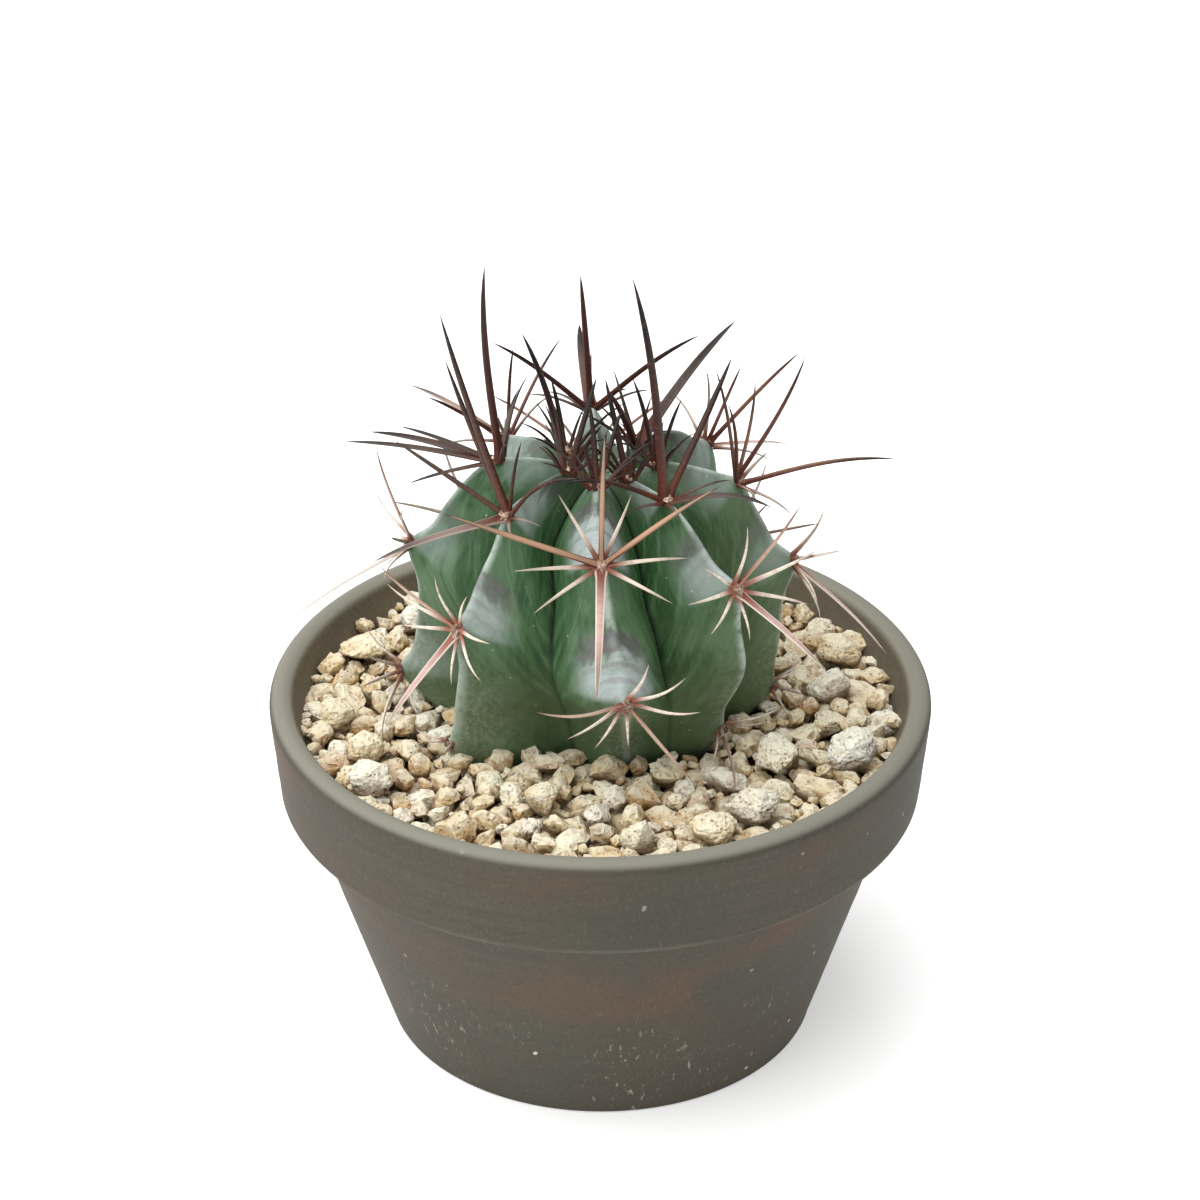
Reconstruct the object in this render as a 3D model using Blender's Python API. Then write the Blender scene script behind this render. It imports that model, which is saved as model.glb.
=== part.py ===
"""A round, eight-ribbed cactus in a clay pot, with pumice laid over its potting mix.

The origin is the middle of the pot's base, on the surface that it stands on, and +Z is up.
The front rib faces -Y. Lengths here are millimetres and angles are degrees: add_solid turns
millimetres into metres.
"""

import random
from math import atan2, cos, degrees, exp, hypot, pi, radians, sin, sqrt

import bmesh
import bpy
from mathutils import Vector
from mathutils.bvhtree import BVHTree

METRES_PER_MM = 0.001
TOUCHING_GAP = 0.3

# Pot: a turned clay pot with a thick collar, a rolled rim and one drain hole.
POT_HEIGHT = 67
RIM_RADIUS = 60
RIM_INNER_RADIUS = 55.5
RIM_ROLL = 2.2
COLLAR_HEIGHT = 19
COLLAR_FOOT_RADIUS = 58.6
COLLAR_EDGE_ROUND = 0.8
BODY_TOP_RADIUS = 54
BASE_RADIUS = 40
BASE_EDGE_ROUND = 0.8
FLOOR_THICKNESS = 6
FLOOR_RADIUS = 35.5
DRAIN_HOLE_RADIUS = 8
POT_SEGMENTS = 48

# Net disc that keeps the mix from falling through the drain hole.
SCREEN_RADIUS = 15
SCREEN_THICKNESS = 0.8
SCREEN_MESH_PITCH = 4.4
SCREEN_MESH_HOLE = 2.8
SCREEN_SEGMENTS = 24

# Fill levels above the ground.
MIX_TOP = 51.7
GRAVEL_BOTTOM = 52
GRAVEL_TOP_AT_STEM = 61
GRAVEL_TOP_AT_RIM = 59.3
GRAVEL_HEAP_RADIUS = 28
GRAVEL_RING_RADII = (36, 45)
GRAVEL_ROLL = 0.35
WALL_GAP = 0.45
ROOT_GAP = 0.6
STEM_GAP = 0.8

# Cactus: outlines of a rib's crest and of the valley beside it, from the crown down to the
# root tip, as (crest radius, crest height, valley radius, valley height). A place on a rib is
# a station number: 0 is the crown, 13 the gravel line, and whole numbers are these points.
OUTLINE = [
    (0, 109, 0, 109),
    (4.5, 110.6, 4, 108.5),
    (9, 112, 8, 106.8),
    (14, 112.4, 11.5, 104),
    (19, 111.2, 14.5, 101),
    (24, 108.3, 17, 97.5),
    (28.3, 103.5, 19.3, 93.5),
    (31.3, 97.5, 21, 89.5),
    (33, 91, 22, 85),
    (33.7, 84, 22.2, 80),
    (33.5, 77, 21.5, 75),
    (32.5, 71, 20, 70),
    (30.5, 65.5, 18.5, 65.5),
    (27.8, 61, 17, 61),
    (24.5, 56.5, 15, 56.5),
    (20, 52, 13, 52),
    (15, 47, 11, 47),
    (10.5, 41, 9.5, 41),
    (7, 34, 7, 34),
    (4, 27, 4, 27),
    (0, 23.5, 0, 23.5),
]
GRAVEL_LINE = 13
MIX_LINE = 15
ROOT_TIP = 20
SHOULDER = 4
LIFT_END = 7
SOIL_AREOLE = 12
TUCK_FROM_HEIGHT = 84
TUCK_SPAN = 20
STATION_STEP = 0.5
# Across a rib: -1 and 1 are its valleys and 0 is its crest.
RIB_SAMPLES = (-1, -0.62, -0.28, 0, 0.28, 0.62)
CREST_ROUNDING = 0.1
# A chin is the swelling under an areole, which grows with age. Widths are in stations.
CHIN_YOUNG = 0.6
CHIN_AT_SOIL = 0.4
CHIN_WIDTH_ABOVE = 0.5
CHIN_WIDTH_BELOW = 0.75
# Near the crown a valley may lie to one side of halfway, by some degrees. At the foot it may
# be filled out or hollowed, by some millimetres. Each is the valley before that rib.
VALLEY_SHIFT = {"front": -11, "front_right": 7}
VALLEY_SHIFT_END = 6.5
FILLED_VALLEY = {"front_right": 2.5, "front": -3.5, "front_left": -2}
FILLED_FROM = 8.5
FILLED_TO = 17
FIN_FROM = 7
FIN_SPAN = 5
PAD_SIZE = (1.7, 2.0, 1.1)  # half sizes of an areole's wool pad: across, along, out
PAD_GAP = 0.4
SEATING_STEPS = 4

# Each rib's compass bearing round the stem (0 faces -Y, 90 faces +X) at the crown and at the
# foot, how much its foot draws in, how far its top stands up, how full its chins are and how
# hollow it is between them in millimetres, and how far its foot narrows to a fin.
RIBS = {
    "left": dict(top=-92, foot=-94, tuck=-0.1, lift=0, chin=3.1, hollow=1.1, fin=0.4),
    "front_left": dict(top=-45, foot=-57, tuck=-0.08, lift=0.5, chin=2, hollow=2.8, fin=1.7),
    "front": dict(top=-3, foot=15, tuck=0.33, lift=0.5, chin=3.1, hollow=1.3, fin=0),
    "front_right": dict(top=40, foot=60, tuck=0.17, lift=-0.8, chin=3.1, hollow=1.5, fin=0.3),
    "right": dict(top=89, foot=93, tuck=-0.02, lift=-1, chin=3.1, hollow=1.3, fin=0.3),
    "back_right": dict(top=135, foot=137, tuck=0, lift=0, chin=3.1, hollow=1.3, fin=0.2),
    "back": dict(top=185, foot=182, tuck=0.04, lift=1.5, chin=3.1, hollow=1.3, fin=0.3),
    "back_left": dict(top=225, foot=222, tuck=0.03, lift=-1.5, chin=3.1, hollow=1.3, fin=0.5),
}

# Areoles on each rib from the crown down: the station, then each spine as (clock, rise,
# length). Clock 0 points up the rib and 90 to the right of someone facing it. Rise is the
# lean away from the skin.
AREOLES = {
    "left": [
        (3.8, [(20, 72, 39), (172, 28, 27), (180, 38, 18), (196, 22, 24), (152, 12, 17),
               (62, 30, 12), (300, 30, 14), (330, 45, 16)]),
        (7.5, [(340, 32, 18), (300, 40, 12), (155, 42, 27), (205, 15, 9), (60, 15, 12),
               (104, 14, 11), (25, 15, 10), (250, 15, 10)]),
        (11.4, [(37, 25, 10), (330, 30, 10), (112, 10, 16), (74, 28, 11), (250, 25, 9)]),
    ],
    "front_left": [
        (1.8, [(340, 76, 17), (280, 40, 14), (95, 60, 12), (215, 66, 13)]),
        (4.7, [(322, 60, 30), (341, 68, 41), (265, 40, 23), (200, 25, 25), (64, 26, 22),
               (24, 52, 16), (90, 14, 11), (120, 20, 10)]),
        (8.2, [(345, 19, 11), (22, 6, 9), (318, 36, 18), (290, 22, 15), (255, 14, 12),
               (199, 20, 23), (172, 4, 10), (74, 12, 14), (108, 14, 13)]),
        (12.2, [(300, 18, 7), (50, 18, 7), (272, 20, 7)]),
    ],
    "front": [
        (2.7, [(345, 62, 15), (30, 55, 14), (290, 34, 13), (70, 34, 13), (200, 60, 12)]),
        (5.6, [(2, 48, 28), (282, 32, 32), (63, 38, 28), (262, 20, 16), (90, 22, 16),
               (328, 12, 14), (24, 12, 13), (232, 12, 15), (122, 18, 15), (182, 26, 28)]),
        (9.1, [(286, 20, 18), (256, 22, 12), (225, 22, 9), (141, 14, 18), (178, 8, 8),
               (86, 18, 13), (50, 16, 13), (14, 20, 13)]),
    ],
    "front_right": [
        (1.7, [(10, 80, 18), (290, 52, 9), (70, 44, 8), (175, 60, 12)]),
        (3.7, [(350, 66, 41), (62, 36, 28), (300, 8, 19), (155, 22, 20), (258, 12, 13),
               (205, 12, 9), (110, 14, 12)]),
        (6.9, [(355, 32, 14), (26, 44, 20), (80, 30, 16), (122, 16, 14), (162, 28, 21),
               (190, 6, 9), (246, 5, 11), (280, 6, 14), (312, 6, 10)]),
        (12.0, [(305, 10, 9), (285, 34, 18), (262, 18, 9), (62, 24, 12), (84, 26, 10)]),
    ],
    "right": [
        (2.2, [(0, 84, 17), (262, 48, 14), (95, 44, 13), (180, 62, 13)]),
        (5.0, [(353, 77, 27), (182, 46, 28), (60, 46, 18), (28, 36, 20), (325, 40, 22),
               (215, 12, 12), (262, 12, 11), (112, 15, 12)]),
        (7.9, [(60, 34, 12), (118, 36, 14), (180, 30, 26), (214, 12, 12), (250, 12, 12),
               (300, 16, 13), (335, 26, 14)]),
        (12.0, [(20, 22, 7), (300, 30, 8), (70, 32, 8), (250, 26, 7)]),
    ],
    "back_right": [
        (2.0, [(330, 60, 20), (205, 40, 28), (120, 40, 14), (60, 30, 12)]),
        (5.7, [(2, 36, 15), (335, 46, 17), (300, 58, 24), (60, 20, 12), (120, 15, 12),
               (180, 30, 24), (240, 15, 12)]),
        (9.2, [(0, 35, 16), (290, 30, 17), (70, 30, 17), (182, 28, 23), (225, 12, 11),
               (135, 12, 11), (325, 14, 11), (35, 14, 11)]),
    ],
    "back": [
        (4.0, [(8, 56, 28), (60, 30, 24), (310, 26, 27), (100, 12, 12), (262, 12, 12),
               (180, 36, 26), (222, 14, 12), (138, 14, 12)]),
        (7.4, [(356, 38, 20), (286, 32, 22), (72, 32, 22), (180, 28, 26), (226, 12, 13),
               (136, 12, 13), (322, 14, 12), (36, 14, 12)]),
        (11.0, [(0, 34, 13), (290, 24, 13), (68, 24, 13), (128, 14, 11), (236, 14, 11)]),
    ],
    "back_left": [
        (1.9, [(165, 58, 23), (300, 45, 14), (190, 55, 13), (110, 36, 13)]),
        (5.0, [(355, 50, 18), (284, 34, 22), (72, 34, 21), (180, 38, 26), (225, 14, 12),
               (136, 14, 12), (322, 16, 12), (36, 16, 12)]),
        (8.6, [(0, 32, 16), (288, 28, 16), (70, 28, 16), (182, 26, 22), (230, 12, 11),
               (132, 12, 11)]),
        (12.0, [(20, 22, 7), (300, 30, 7), (70, 32, 8)]),
    ],
}

# Larger stones on the gravel: bearing, distance from the axis, length, width, height, turn.
STONES = [
    (36, 45, 11, 9, 8, 20),
    (-56, 48, 9, 8, 7, 60),
    (-114, 47, 11, 8, 6, 15),
    (-69, 45, 10, 7, 6, 80),
    (112, 48, 9, 8, 7, 130),
    (68, 48, 11, 8, 7, 40),
    (56, 37, 10, 8, 6.5, 110),
    (24, 47, 9, 8, 6, 160),
    (-17, 35, 8, 7, 6, 50),
    (8, 46, 7, 6, 6, 0),
    (-132, 46, 9, 7, 6, 35),
    (97, 42, 9, 8, 6, 75),
    (-84, 48, 8, 6, 6, 140),
    (165, 45, 10, 8, 7, 25),
]
STONE_ROUGHNESS = 0.1
STONE_SEED = 7

MATERIALS = {
    "clay": ((0.125, 0.115, 0.09), 0.85),
    "net": ((0.02, 0.02, 0.02), 0.6),
    "mix": ((0.06, 0.042, 0.028), 0.95),
    "gravel": ((0.55, 0.43, 0.28), 0.95),
    "stone": ((0.68, 0.58, 0.42), 0.95),
    "flesh": ((0.07, 0.19, 0.09), 0.5),
    "spines": ((0.48, 0.26, 0.2), 0.55),
}


def clear_scene():
    for obj in list(bpy.data.objects):
        bpy.data.objects.remove(obj, do_unlink=True)


def material(name):
    found = bpy.data.materials.get(name)
    if found:
        return found
    colour, roughness = MATERIALS[name]
    made = bpy.data.materials.new(name)
    made.use_nodes = True
    shader = made.node_tree.nodes["Principled BSDF"]
    shader.inputs["Base Color"].default_value = (*colour, 1)
    shader.inputs["Roughness"].default_value = roughness
    shader.inputs["Metallic"].default_value = 0
    return made


def add_solid(name, shape, material_name, smooth=True):
    """Make an object from a bmesh in millimetres."""
    bmesh.ops.scale(shape, vec=(METRES_PER_MM,) * 3, verts=shape.verts)
    mesh = bpy.data.meshes.new(name)
    shape.to_mesh(mesh)
    shape.free()
    if smooth:
        mesh.shade_smooth()
        mesh.set_sharp_from_angle(angle=radians(40))
    obj = bpy.data.objects.new(name, mesh)
    obj.data.materials.append(material(material_name))
    bpy.context.collection.objects.link(obj)
    return obj


def arc(centre, radius, start, end, steps):
    """Points of an arc in the (radius, height) plane, from one angle to another."""
    angles = [radians(start + (end - start) * i / steps) for i in range(steps + 1)]
    return [(centre[0] + radius * cos(a), centre[1] + radius * sin(a)) for a in angles]


def lathe(profile, segments):
    """Turn a closed outline about the Z axis."""
    shape = bmesh.new()
    verts = [shape.verts.new((radius, 0, height)) for radius, height in profile]
    edges = [shape.edges.new((a, b)) for a, b in zip(verts, verts[1:] + verts[:1])]
    bmesh.ops.spin(
        shape,
        geom=verts + edges,
        axis=(0, 0, 1),
        cent=(0, 0, 0),
        steps=segments,
        angle=2 * pi,
        use_merge=True,
    )
    bmesh.ops.recalc_face_normals(shape, faces=shape.faces)
    return shape


def loft(rings, start=None, end=None):
    """Skin a run of rings. Each end closes on a single point, or both ends join up."""
    shape = bmesh.new()
    skins = [[shape.verts.new(point) for point in ring] for ring in rings]
    pairs = list(zip(skins, skins[1:]))
    if start is None:
        pairs.append((skins[-1], skins[0]))
    for above, below in pairs:
        for i in range(len(above)):
            j = (i + 1) % len(above)
            shape.faces.new((above[i], above[j], below[j], below[i]))
    for skin, point in ((skins[0], start), (skins[-1], end)):
        if point is not None:
            tip = shape.verts.new(point)
            for i in range(len(skin)):
                shape.faces.new((tip, skin[i], skin[(i + 1) % len(skin)]))
    bmesh.ops.recalc_face_normals(shape, faces=shape.faces)
    return shape


# Pot -----------------------------------------------------------------------------------

def wall_radius(height):
    """Inside radius of the pot at a height above the ground."""
    slope = (RIM_INNER_RADIUS - FLOOR_RADIUS) / (POT_HEIGHT - RIM_ROLL - FLOOR_THICKNESS)
    return FLOOR_RADIUS + slope * (height - FLOOR_THICKNESS)


def make_pot():
    roll = (RIM_RADIUS - RIM_ROLL, POT_HEIGHT - RIM_ROLL)
    inner_roll = (RIM_INNER_RADIUS + RIM_ROLL, POT_HEIGHT - RIM_ROLL)
    collar_foot = POT_HEIGHT - COLLAR_HEIGHT
    edge = (COLLAR_FOOT_RADIUS - COLLAR_EDGE_ROUND, collar_foot + COLLAR_EDGE_ROUND)
    heel = (BASE_RADIUS - BASE_EDGE_ROUND, BASE_EDGE_ROUND)
    profile = (
        arc(roll, RIM_ROLL, 90, 0, 4)
        + arc(edge, COLLAR_EDGE_ROUND, 0, -90, 2)
        + [(BODY_TOP_RADIUS, collar_foot)]
        + arc(heel, BASE_EDGE_ROUND, 0, -90, 2)
        + [(DRAIN_HOLE_RADIUS, 0), (DRAIN_HOLE_RADIUS, FLOOR_THICKNESS)]
        + [(FLOOR_RADIUS, FLOOR_THICKNESS)]
        + arc(inner_roll, RIM_ROLL, 180, 90, 4)
    )
    add_solid("pot", lathe(profile, POT_SEGMENTS), "clay")


# Drain screen --------------------------------------------------------------------------

def make_drain_screen():
    bottom = FLOOR_THICKNESS + TOUCHING_GAP
    disc = bmesh.new()
    bmesh.ops.create_cone(
        disc,
        cap_ends=True,
        segments=SCREEN_SEGMENTS,
        radius1=SCREEN_RADIUS,
        radius2=SCREEN_RADIUS,
        depth=SCREEN_THICKNESS,
    )
    bmesh.ops.translate(disc, vec=(0, 0, bottom + SCREEN_THICKNESS / 2), verts=disc.verts)
    screen = add_solid("drain_screen", disc, "net", smooth=False)

    punches = bmesh.new()
    reach = SCREEN_RADIUS - SCREEN_MESH_HOLE
    for row in range(-2, 3):
        for column in range(-2, 3):
            x, y = row * SCREEN_MESH_PITCH, column * SCREEN_MESH_PITCH
            if hypot(x, y) < reach:
                made = bmesh.ops.create_cube(punches, size=SCREEN_MESH_HOLE)
                bmesh.ops.translate(punches, vec=(x, y, bottom), verts=made["verts"])
    cutter = add_solid("screen_punches", punches, "net", smooth=False)
    cutter.hide_render = True
    cutter.display_type = "WIRE"
    cut = screen.modifiers.new("mesh holes", "BOOLEAN")
    cut.operation = "DIFFERENCE"
    cut.solver = "EXACT"
    cut.object = cutter


# Cactus stem ---------------------------------------------------------------------------

def ease(x):
    """0 up to 0, 1 from 1, and a smooth step between."""
    x = min(max(x, 0), 1)
    return x * x * (3 - 2 * x)


def outline_at(station):
    """The four outline values at a station, on a smooth curve through OUTLINE."""
    station = min(max(station, 0), ROOT_TIP)
    i = min(int(station), ROOT_TIP - 1)
    u = station - i
    rows = [OUTLINE[min(max(i + k, 0), ROOT_TIP)] for k in (-1, 0, 1, 2)]
    values = []
    for before, a, b, after in zip(*rows):
        bend = (2 * before - 5 * a + 4 * b - after) * u * u
        twist = (3 * a - 3 * b + after - before) * u ** 3
        values.append(0.5 * (2 * a + (b - before) * u + bend + twist))
    return values


def bearing(rib, station):
    """Compass bearing of a rib's crest, in degrees."""
    swing = min(max((station - SHOULDER) / (GRAVEL_LINE - SHOULDER), 0), 1)
    return RIBS[rib]["top"] + (RIBS[rib]["foot"] - RIBS[rib]["top"]) * swing


def plain_crest(rib, station):
    """Radius and height of a rib's crest, without the chins under its areoles."""
    radius, height, _, _ = outline_at(station)
    tucked = ease((TUCK_FROM_HEIGHT - height) / TUCK_SPAN)
    radius *= 1 - RIBS[rib]["tuck"] * tucked
    height += RIBS[rib]["lift"] * ease(station / 2) * ease((LIFT_END - station) / 4)
    return radius, height


def crest_slope(rib, station):
    """Unit vector down the crest in the (radius, height) plane."""
    r0, z0 = plain_crest(rib, station - 0.05)
    r1, z1 = plain_crest(rib, station + 0.05)
    length = hypot(r1 - r0, z1 - z0)
    return (r1 - r0) / length, (z1 - z0) / length


def crest(rib, station):
    """Radius and height of a rib's crest, swollen into a chin at each areole."""
    radius, height = plain_crest(rib, station)
    along_r, along_z = crest_slope(rib, station)
    on_side = ease((station - SHOULDER) / 2) * ease((GRAVEL_LINE - station) / 2)
    swell = -RIBS[rib]["hollow"] * on_side
    for areole, _ in AREOLES[rib]:
        width = CHIN_WIDTH_ABOVE if station < areole else CHIN_WIDTH_BELOW
        grown = CHIN_YOUNG + (RIBS[rib]["chin"] - CHIN_YOUNG) * ease((areole - SHOULDER) / 3)
        if areole >= SOIL_AREOLE:
            grown *= CHIN_AT_SOIL
        swell += grown * exp(-((station - areole) / width) ** 2)
    return radius - along_z * swell, height + along_r * swell


def polar(radius, compass, height):
    """A point at a compass bearing, in degrees."""
    angle = radians(compass)
    return Vector((radius * sin(angle), -radius * cos(angle), height))


def valley_shift(rib, station):
    """Degrees that the valley before a rib is moved, near the crown."""
    return VALLEY_SHIFT.get(rib, 0) * ease((VALLEY_SHIFT_END - station) / 3)


def valley_fill(rib, station):
    """Millimetres that the valley before a rib is filled out by, round the foot."""
    at_foot = ease((station - FILLED_FROM) / 3) * ease((FILLED_TO - station) / 4)
    return FILLED_VALLEY.get(rib, 0) * at_foot


def fall_from_crest(rib, station, side):
    """How far the skin has fallen to the valley: from a rounded crest, steeper on a fin."""
    full = sqrt(1 + CREST_ROUNDING ** 2) - CREST_ROUNDING
    fall = (sqrt(side ** 2 + CREST_ROUNDING ** 2) - CREST_ROUNDING) / full
    narrow = 1 + RIBS[rib]["fin"] * ease((station - FIN_FROM) / FIN_SPAN)
    return 1 - max(1 - fall, 0) ** narrow


def stem_ring(station, gap=0):
    """Points round the stem at a station, each moved out from the axis by gap."""
    _, _, plain_valley, valley_height = outline_at(station)
    names = list(RIBS)
    ring = []
    for i, rib in enumerate(names):
        before, after = names[i - 1], names[(i + 1) % len(names)]
        middle = bearing(rib, station)
        to_before = ((middle - bearing(before, station)) % 360) / 2 - valley_shift(rib, station)
        to_after = ((bearing(after, station) - middle) % 360) / 2 + valley_shift(after, station)
        crest_radius, crest_height = crest(rib, station)
        for side in RIB_SAMPLES:
            fall = fall_from_crest(rib, station, side)
            valley_radius = plain_valley + valley_fill(rib if side < 0 else after, station)
            radius = crest_radius + (valley_radius - crest_radius) * fall
            height = crest_height + (valley_height - crest_height) * fall
            turn = side * (to_before if side < 0 else to_after)
            ring.append(polar(radius + gap, middle + turn, height))
    return ring


def make_stem():
    """One solid from the crown to the tip of the buried root."""
    in_sight = [STATION_STEP * i for i in range(1, int(GRAVEL_LINE / STATION_STEP))]
    buried = list(range(GRAVEL_LINE, ROOT_TIP))
    rings = [stem_ring(station) for station in in_sight + buried]
    shape = loft(rings, start=(0, 0, OUTLINE[0][1]), end=(0, 0, OUTLINE[ROOT_TIP][1]))
    skin = BVHTree.FromBMesh(shape)
    add_solid("cactus_body", shape, "flesh")
    return skin


# Potting mix and gravel ----------------------------------------------------------------

def make_potting_mix():
    """Fills the pot round the root, over the drain screen."""
    recess_top = FLOOR_THICKNESS + SCREEN_THICKNESS + 2 * TOUCHING_GAP
    bottom = FLOOR_THICKNESS + TOUCHING_GAP
    recess = SCREEN_RADIUS + WALL_GAP
    lip = stem_ring(MIX_LINE, ROOT_GAP)
    bearings = [degrees(atan2(point.x, -point.y)) for point in lip]

    def circle(radius, height):
        return [polar(radius, at, height) for at in bearings]

    lower = stem_ring(MIX_LINE + 1, ROOT_GAP)
    share = (lip[0].z - MIX_TOP) / (lip[0].z - lower[0].z)
    socket_edge = [a.lerp(b, share) for a, b in zip(lip, lower)]
    rings = [
        circle(recess, recess_top),
        circle(recess, bottom),
        circle(wall_radius(bottom) - WALL_GAP, bottom),
        circle(wall_radius(MIX_TOP) - WALL_GAP, MIX_TOP),
        socket_edge,
    ]
    rings += [stem_ring(station, ROOT_GAP) for station in range(MIX_LINE + 1, ROOT_TIP)]
    root_tip = OUTLINE[ROOT_TIP][1] - ROOT_GAP
    shape = loft(rings, start=(0, 0, recess_top), end=(0, 0, root_tip))
    add_solid("potting_mix", shape, "mix")


def gravel_height(radius, compass):
    """Top of the gravel bed: it falls a little to the rim and rolls gently."""
    reach = wall_radius(GRAVEL_TOP_AT_RIM) - GRAVEL_HEAP_RADIUS
    out = min(max((radius - GRAVEL_HEAP_RADIUS) / reach, 0), 1)
    level = GRAVEL_TOP_AT_STEM + (GRAVEL_TOP_AT_RIM - GRAVEL_TOP_AT_STEM) * out
    roll = sin(radians(3 * compass)) + sin(radians(7 * compass + 90 * out))
    return level + GRAVEL_ROLL * roll * sin(pi * out)


def make_gravel_bed():
    """The layer of small pumice between the mix and the open air, round the stem."""
    up_the_stem = range(MIX_LINE, GRAVEL_LINE - 1, -1)
    stem_side = [stem_ring(station, STEM_GAP) for station in up_the_stem]
    bearings = [degrees(atan2(point.x, -point.y)) for point in stem_side[0]]
    radii = [*GRAVEL_RING_RADII, wall_radius(GRAVEL_TOP_AT_RIM) - WALL_GAP]
    top_rings = []
    for radius in radii:
        top_rings.append([polar(radius, at, gravel_height(radius, at)) for at in bearings])
    foot_radius = wall_radius(GRAVEL_BOTTOM) - WALL_GAP
    outer_bottom = [polar(foot_radius, at, GRAVEL_BOTTOM) for at in bearings]
    shape = loft(stem_side + top_rings + [outer_bottom])
    surface = BVHTree.FromBMesh(shape)
    add_solid("gravel_bed", shape, "gravel")
    return surface


def make_stones(surface):
    """Larger stones, each dropped until it rests on the gravel bed."""
    chance = random.Random(STONE_SEED)
    for number, (compass, distance, length, width, height, turn) in enumerate(STONES, 1):
        shape = bmesh.new()
        bmesh.ops.create_icosphere(shape, subdivisions=2, radius=1)
        place = polar(distance, compass, POT_HEIGHT)
        along = Vector((cos(radians(turn)), sin(radians(turn)), 0))
        across = Vector((-along.y, along.x, 0))
        for vert in shape.verts:
            bump = 1 + chance.uniform(-STONE_ROUGHNESS, STONE_ROUGHNESS)
            x, y, z = vert.co * bump
            vert.co = place + along * x * length / 2 + across * y * width / 2
            vert.co.z += z * height / 2
        down = Vector((0, 0, -1))
        drops = [surface.ray_cast(vert.co, down)[3] for vert in shape.verts]
        fall = min(drop for drop in drops if drop is not None) - TOUCHING_GAP
        bmesh.ops.translate(shape, vec=(0, 0, -fall), verts=shape.verts)
        add_solid(f"pumice_stone_{number:02d}", shape, "stone", smooth=False)


# Spines --------------------------------------------------------------------------------

def make_spine_cluster(name, rib, station, spines, skin):
    """An areole: a wool pad seated on the rib's crest, with its spines growing from it."""
    radius, height = crest(rib, station)
    along_r, along_z = crest_slope(rib, station)
    compass = bearing(rib, station)
    up = polar(-along_r, compass, -along_z)
    out = polar(-along_z, compass, along_r)
    side = polar(1, compass + 90, 0)
    pad_centre = polar(radius, compass, height) + out * 2 * PAD_SIZE[0]

    shape = bmesh.new()
    bmesh.ops.create_icosphere(shape, subdivisions=2, radius=1)
    for _ in range(SEATING_STEPS):
        gaps = []
        for vert in shape.verts:
            x, y, z = [a * b for a, b in zip(vert.co, PAD_SIZE)]
            gaps.append(skin.find_nearest(pad_centre + side * x + up * y + out * z)[3])
        pad_centre -= out * (min(gaps) - PAD_GAP)
    free = {face.calc_center_median().normalized().freeze(): face for face in shape.faces}
    for clock, rise, length in spines:
        turn, lean = radians(clock), radians(rise)
        aim = Vector((cos(lean) * sin(turn), cos(lean) * cos(turn), sin(lean)))
        root = max(free, key=aim.dot)
        tip = bmesh.ops.poke(shape, faces=[free.pop(root)])["verts"][0]
        tip.co = Vector([a * length / b for a, b in zip(aim, PAD_SIZE)])
    for vert in shape.verts:
        x, y, z = [a * b for a, b in zip(vert.co, PAD_SIZE)]
        vert.co = pad_centre + side * x + up * y + out * z
    add_solid(name, shape, "spines", smooth=False)


def make_spines(skin):
    for rib, areoles in AREOLES.items():
        for number, (station, spines) in enumerate(areoles, 1):
            make_spine_cluster(f"spines_{rib}_{number}", rib, station, spines, skin)


clear_scene()
make_pot()
make_drain_screen()
make_potting_mix()
make_stones(make_gravel_bed())
make_spines(make_stem())
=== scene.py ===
import random
from functools import lru_cache
from math import atan2, cos, degrees, exp, hypot, pi, radians, sin, sqrt

import bpy
import numpy as np
from mathutils import Matrix, Vector, noise
from mathutils.bvhtree import BVHTree


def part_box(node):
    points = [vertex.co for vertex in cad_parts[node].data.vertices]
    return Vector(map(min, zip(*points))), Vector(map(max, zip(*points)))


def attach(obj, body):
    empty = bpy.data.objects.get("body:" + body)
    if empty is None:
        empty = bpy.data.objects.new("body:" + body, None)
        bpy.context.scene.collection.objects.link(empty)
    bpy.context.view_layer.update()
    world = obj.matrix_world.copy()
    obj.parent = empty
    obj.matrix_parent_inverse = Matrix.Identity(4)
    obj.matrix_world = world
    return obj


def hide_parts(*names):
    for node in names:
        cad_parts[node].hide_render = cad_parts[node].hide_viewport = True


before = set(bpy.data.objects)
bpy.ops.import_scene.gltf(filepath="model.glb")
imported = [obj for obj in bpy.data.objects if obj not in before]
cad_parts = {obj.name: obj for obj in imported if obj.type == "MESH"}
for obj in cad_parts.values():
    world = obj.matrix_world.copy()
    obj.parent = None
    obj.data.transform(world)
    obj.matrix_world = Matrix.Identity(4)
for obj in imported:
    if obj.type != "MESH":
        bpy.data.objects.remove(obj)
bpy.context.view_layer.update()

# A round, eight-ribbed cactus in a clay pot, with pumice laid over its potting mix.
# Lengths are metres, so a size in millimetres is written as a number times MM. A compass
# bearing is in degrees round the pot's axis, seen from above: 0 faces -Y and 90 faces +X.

MM = 0.001


# The pot -------------------------------------------------------------------------------
# Dark clay, turned on a wheel and fired without a glaze: a tapered wall under a thick collar
# with a rolled rim, and a hole through the floor. Hard water has left salts low on the wall.

POT_SEGMENTS = 192
COLLAR_HEIGHT = 19 * MM
COLLAR_FOOT_RADIUS = 58.6 * MM
BODY_TOP_RADIUS = 54 * MM
UNDERCUT_ROUND = 1.5 * MM
BASE_RADIUS = 40 * MM
EDGE_ROUND = 0.8 * MM
RIM_WIDTH = 4.5 * MM
RIM_ROLL = 2.2 * MM
FLOOR_THICKNESS = 6 * MM
FLOOR_RADIUS = 35.5 * MM
DRAIN_HOLE_RADIUS = 8 * MM
TURNING_RING_STEP = 0.9 * MM
TURNING_RING_DEPTH = 0.06 * MM
WALL_LEAN = 0.25 * MM

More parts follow.
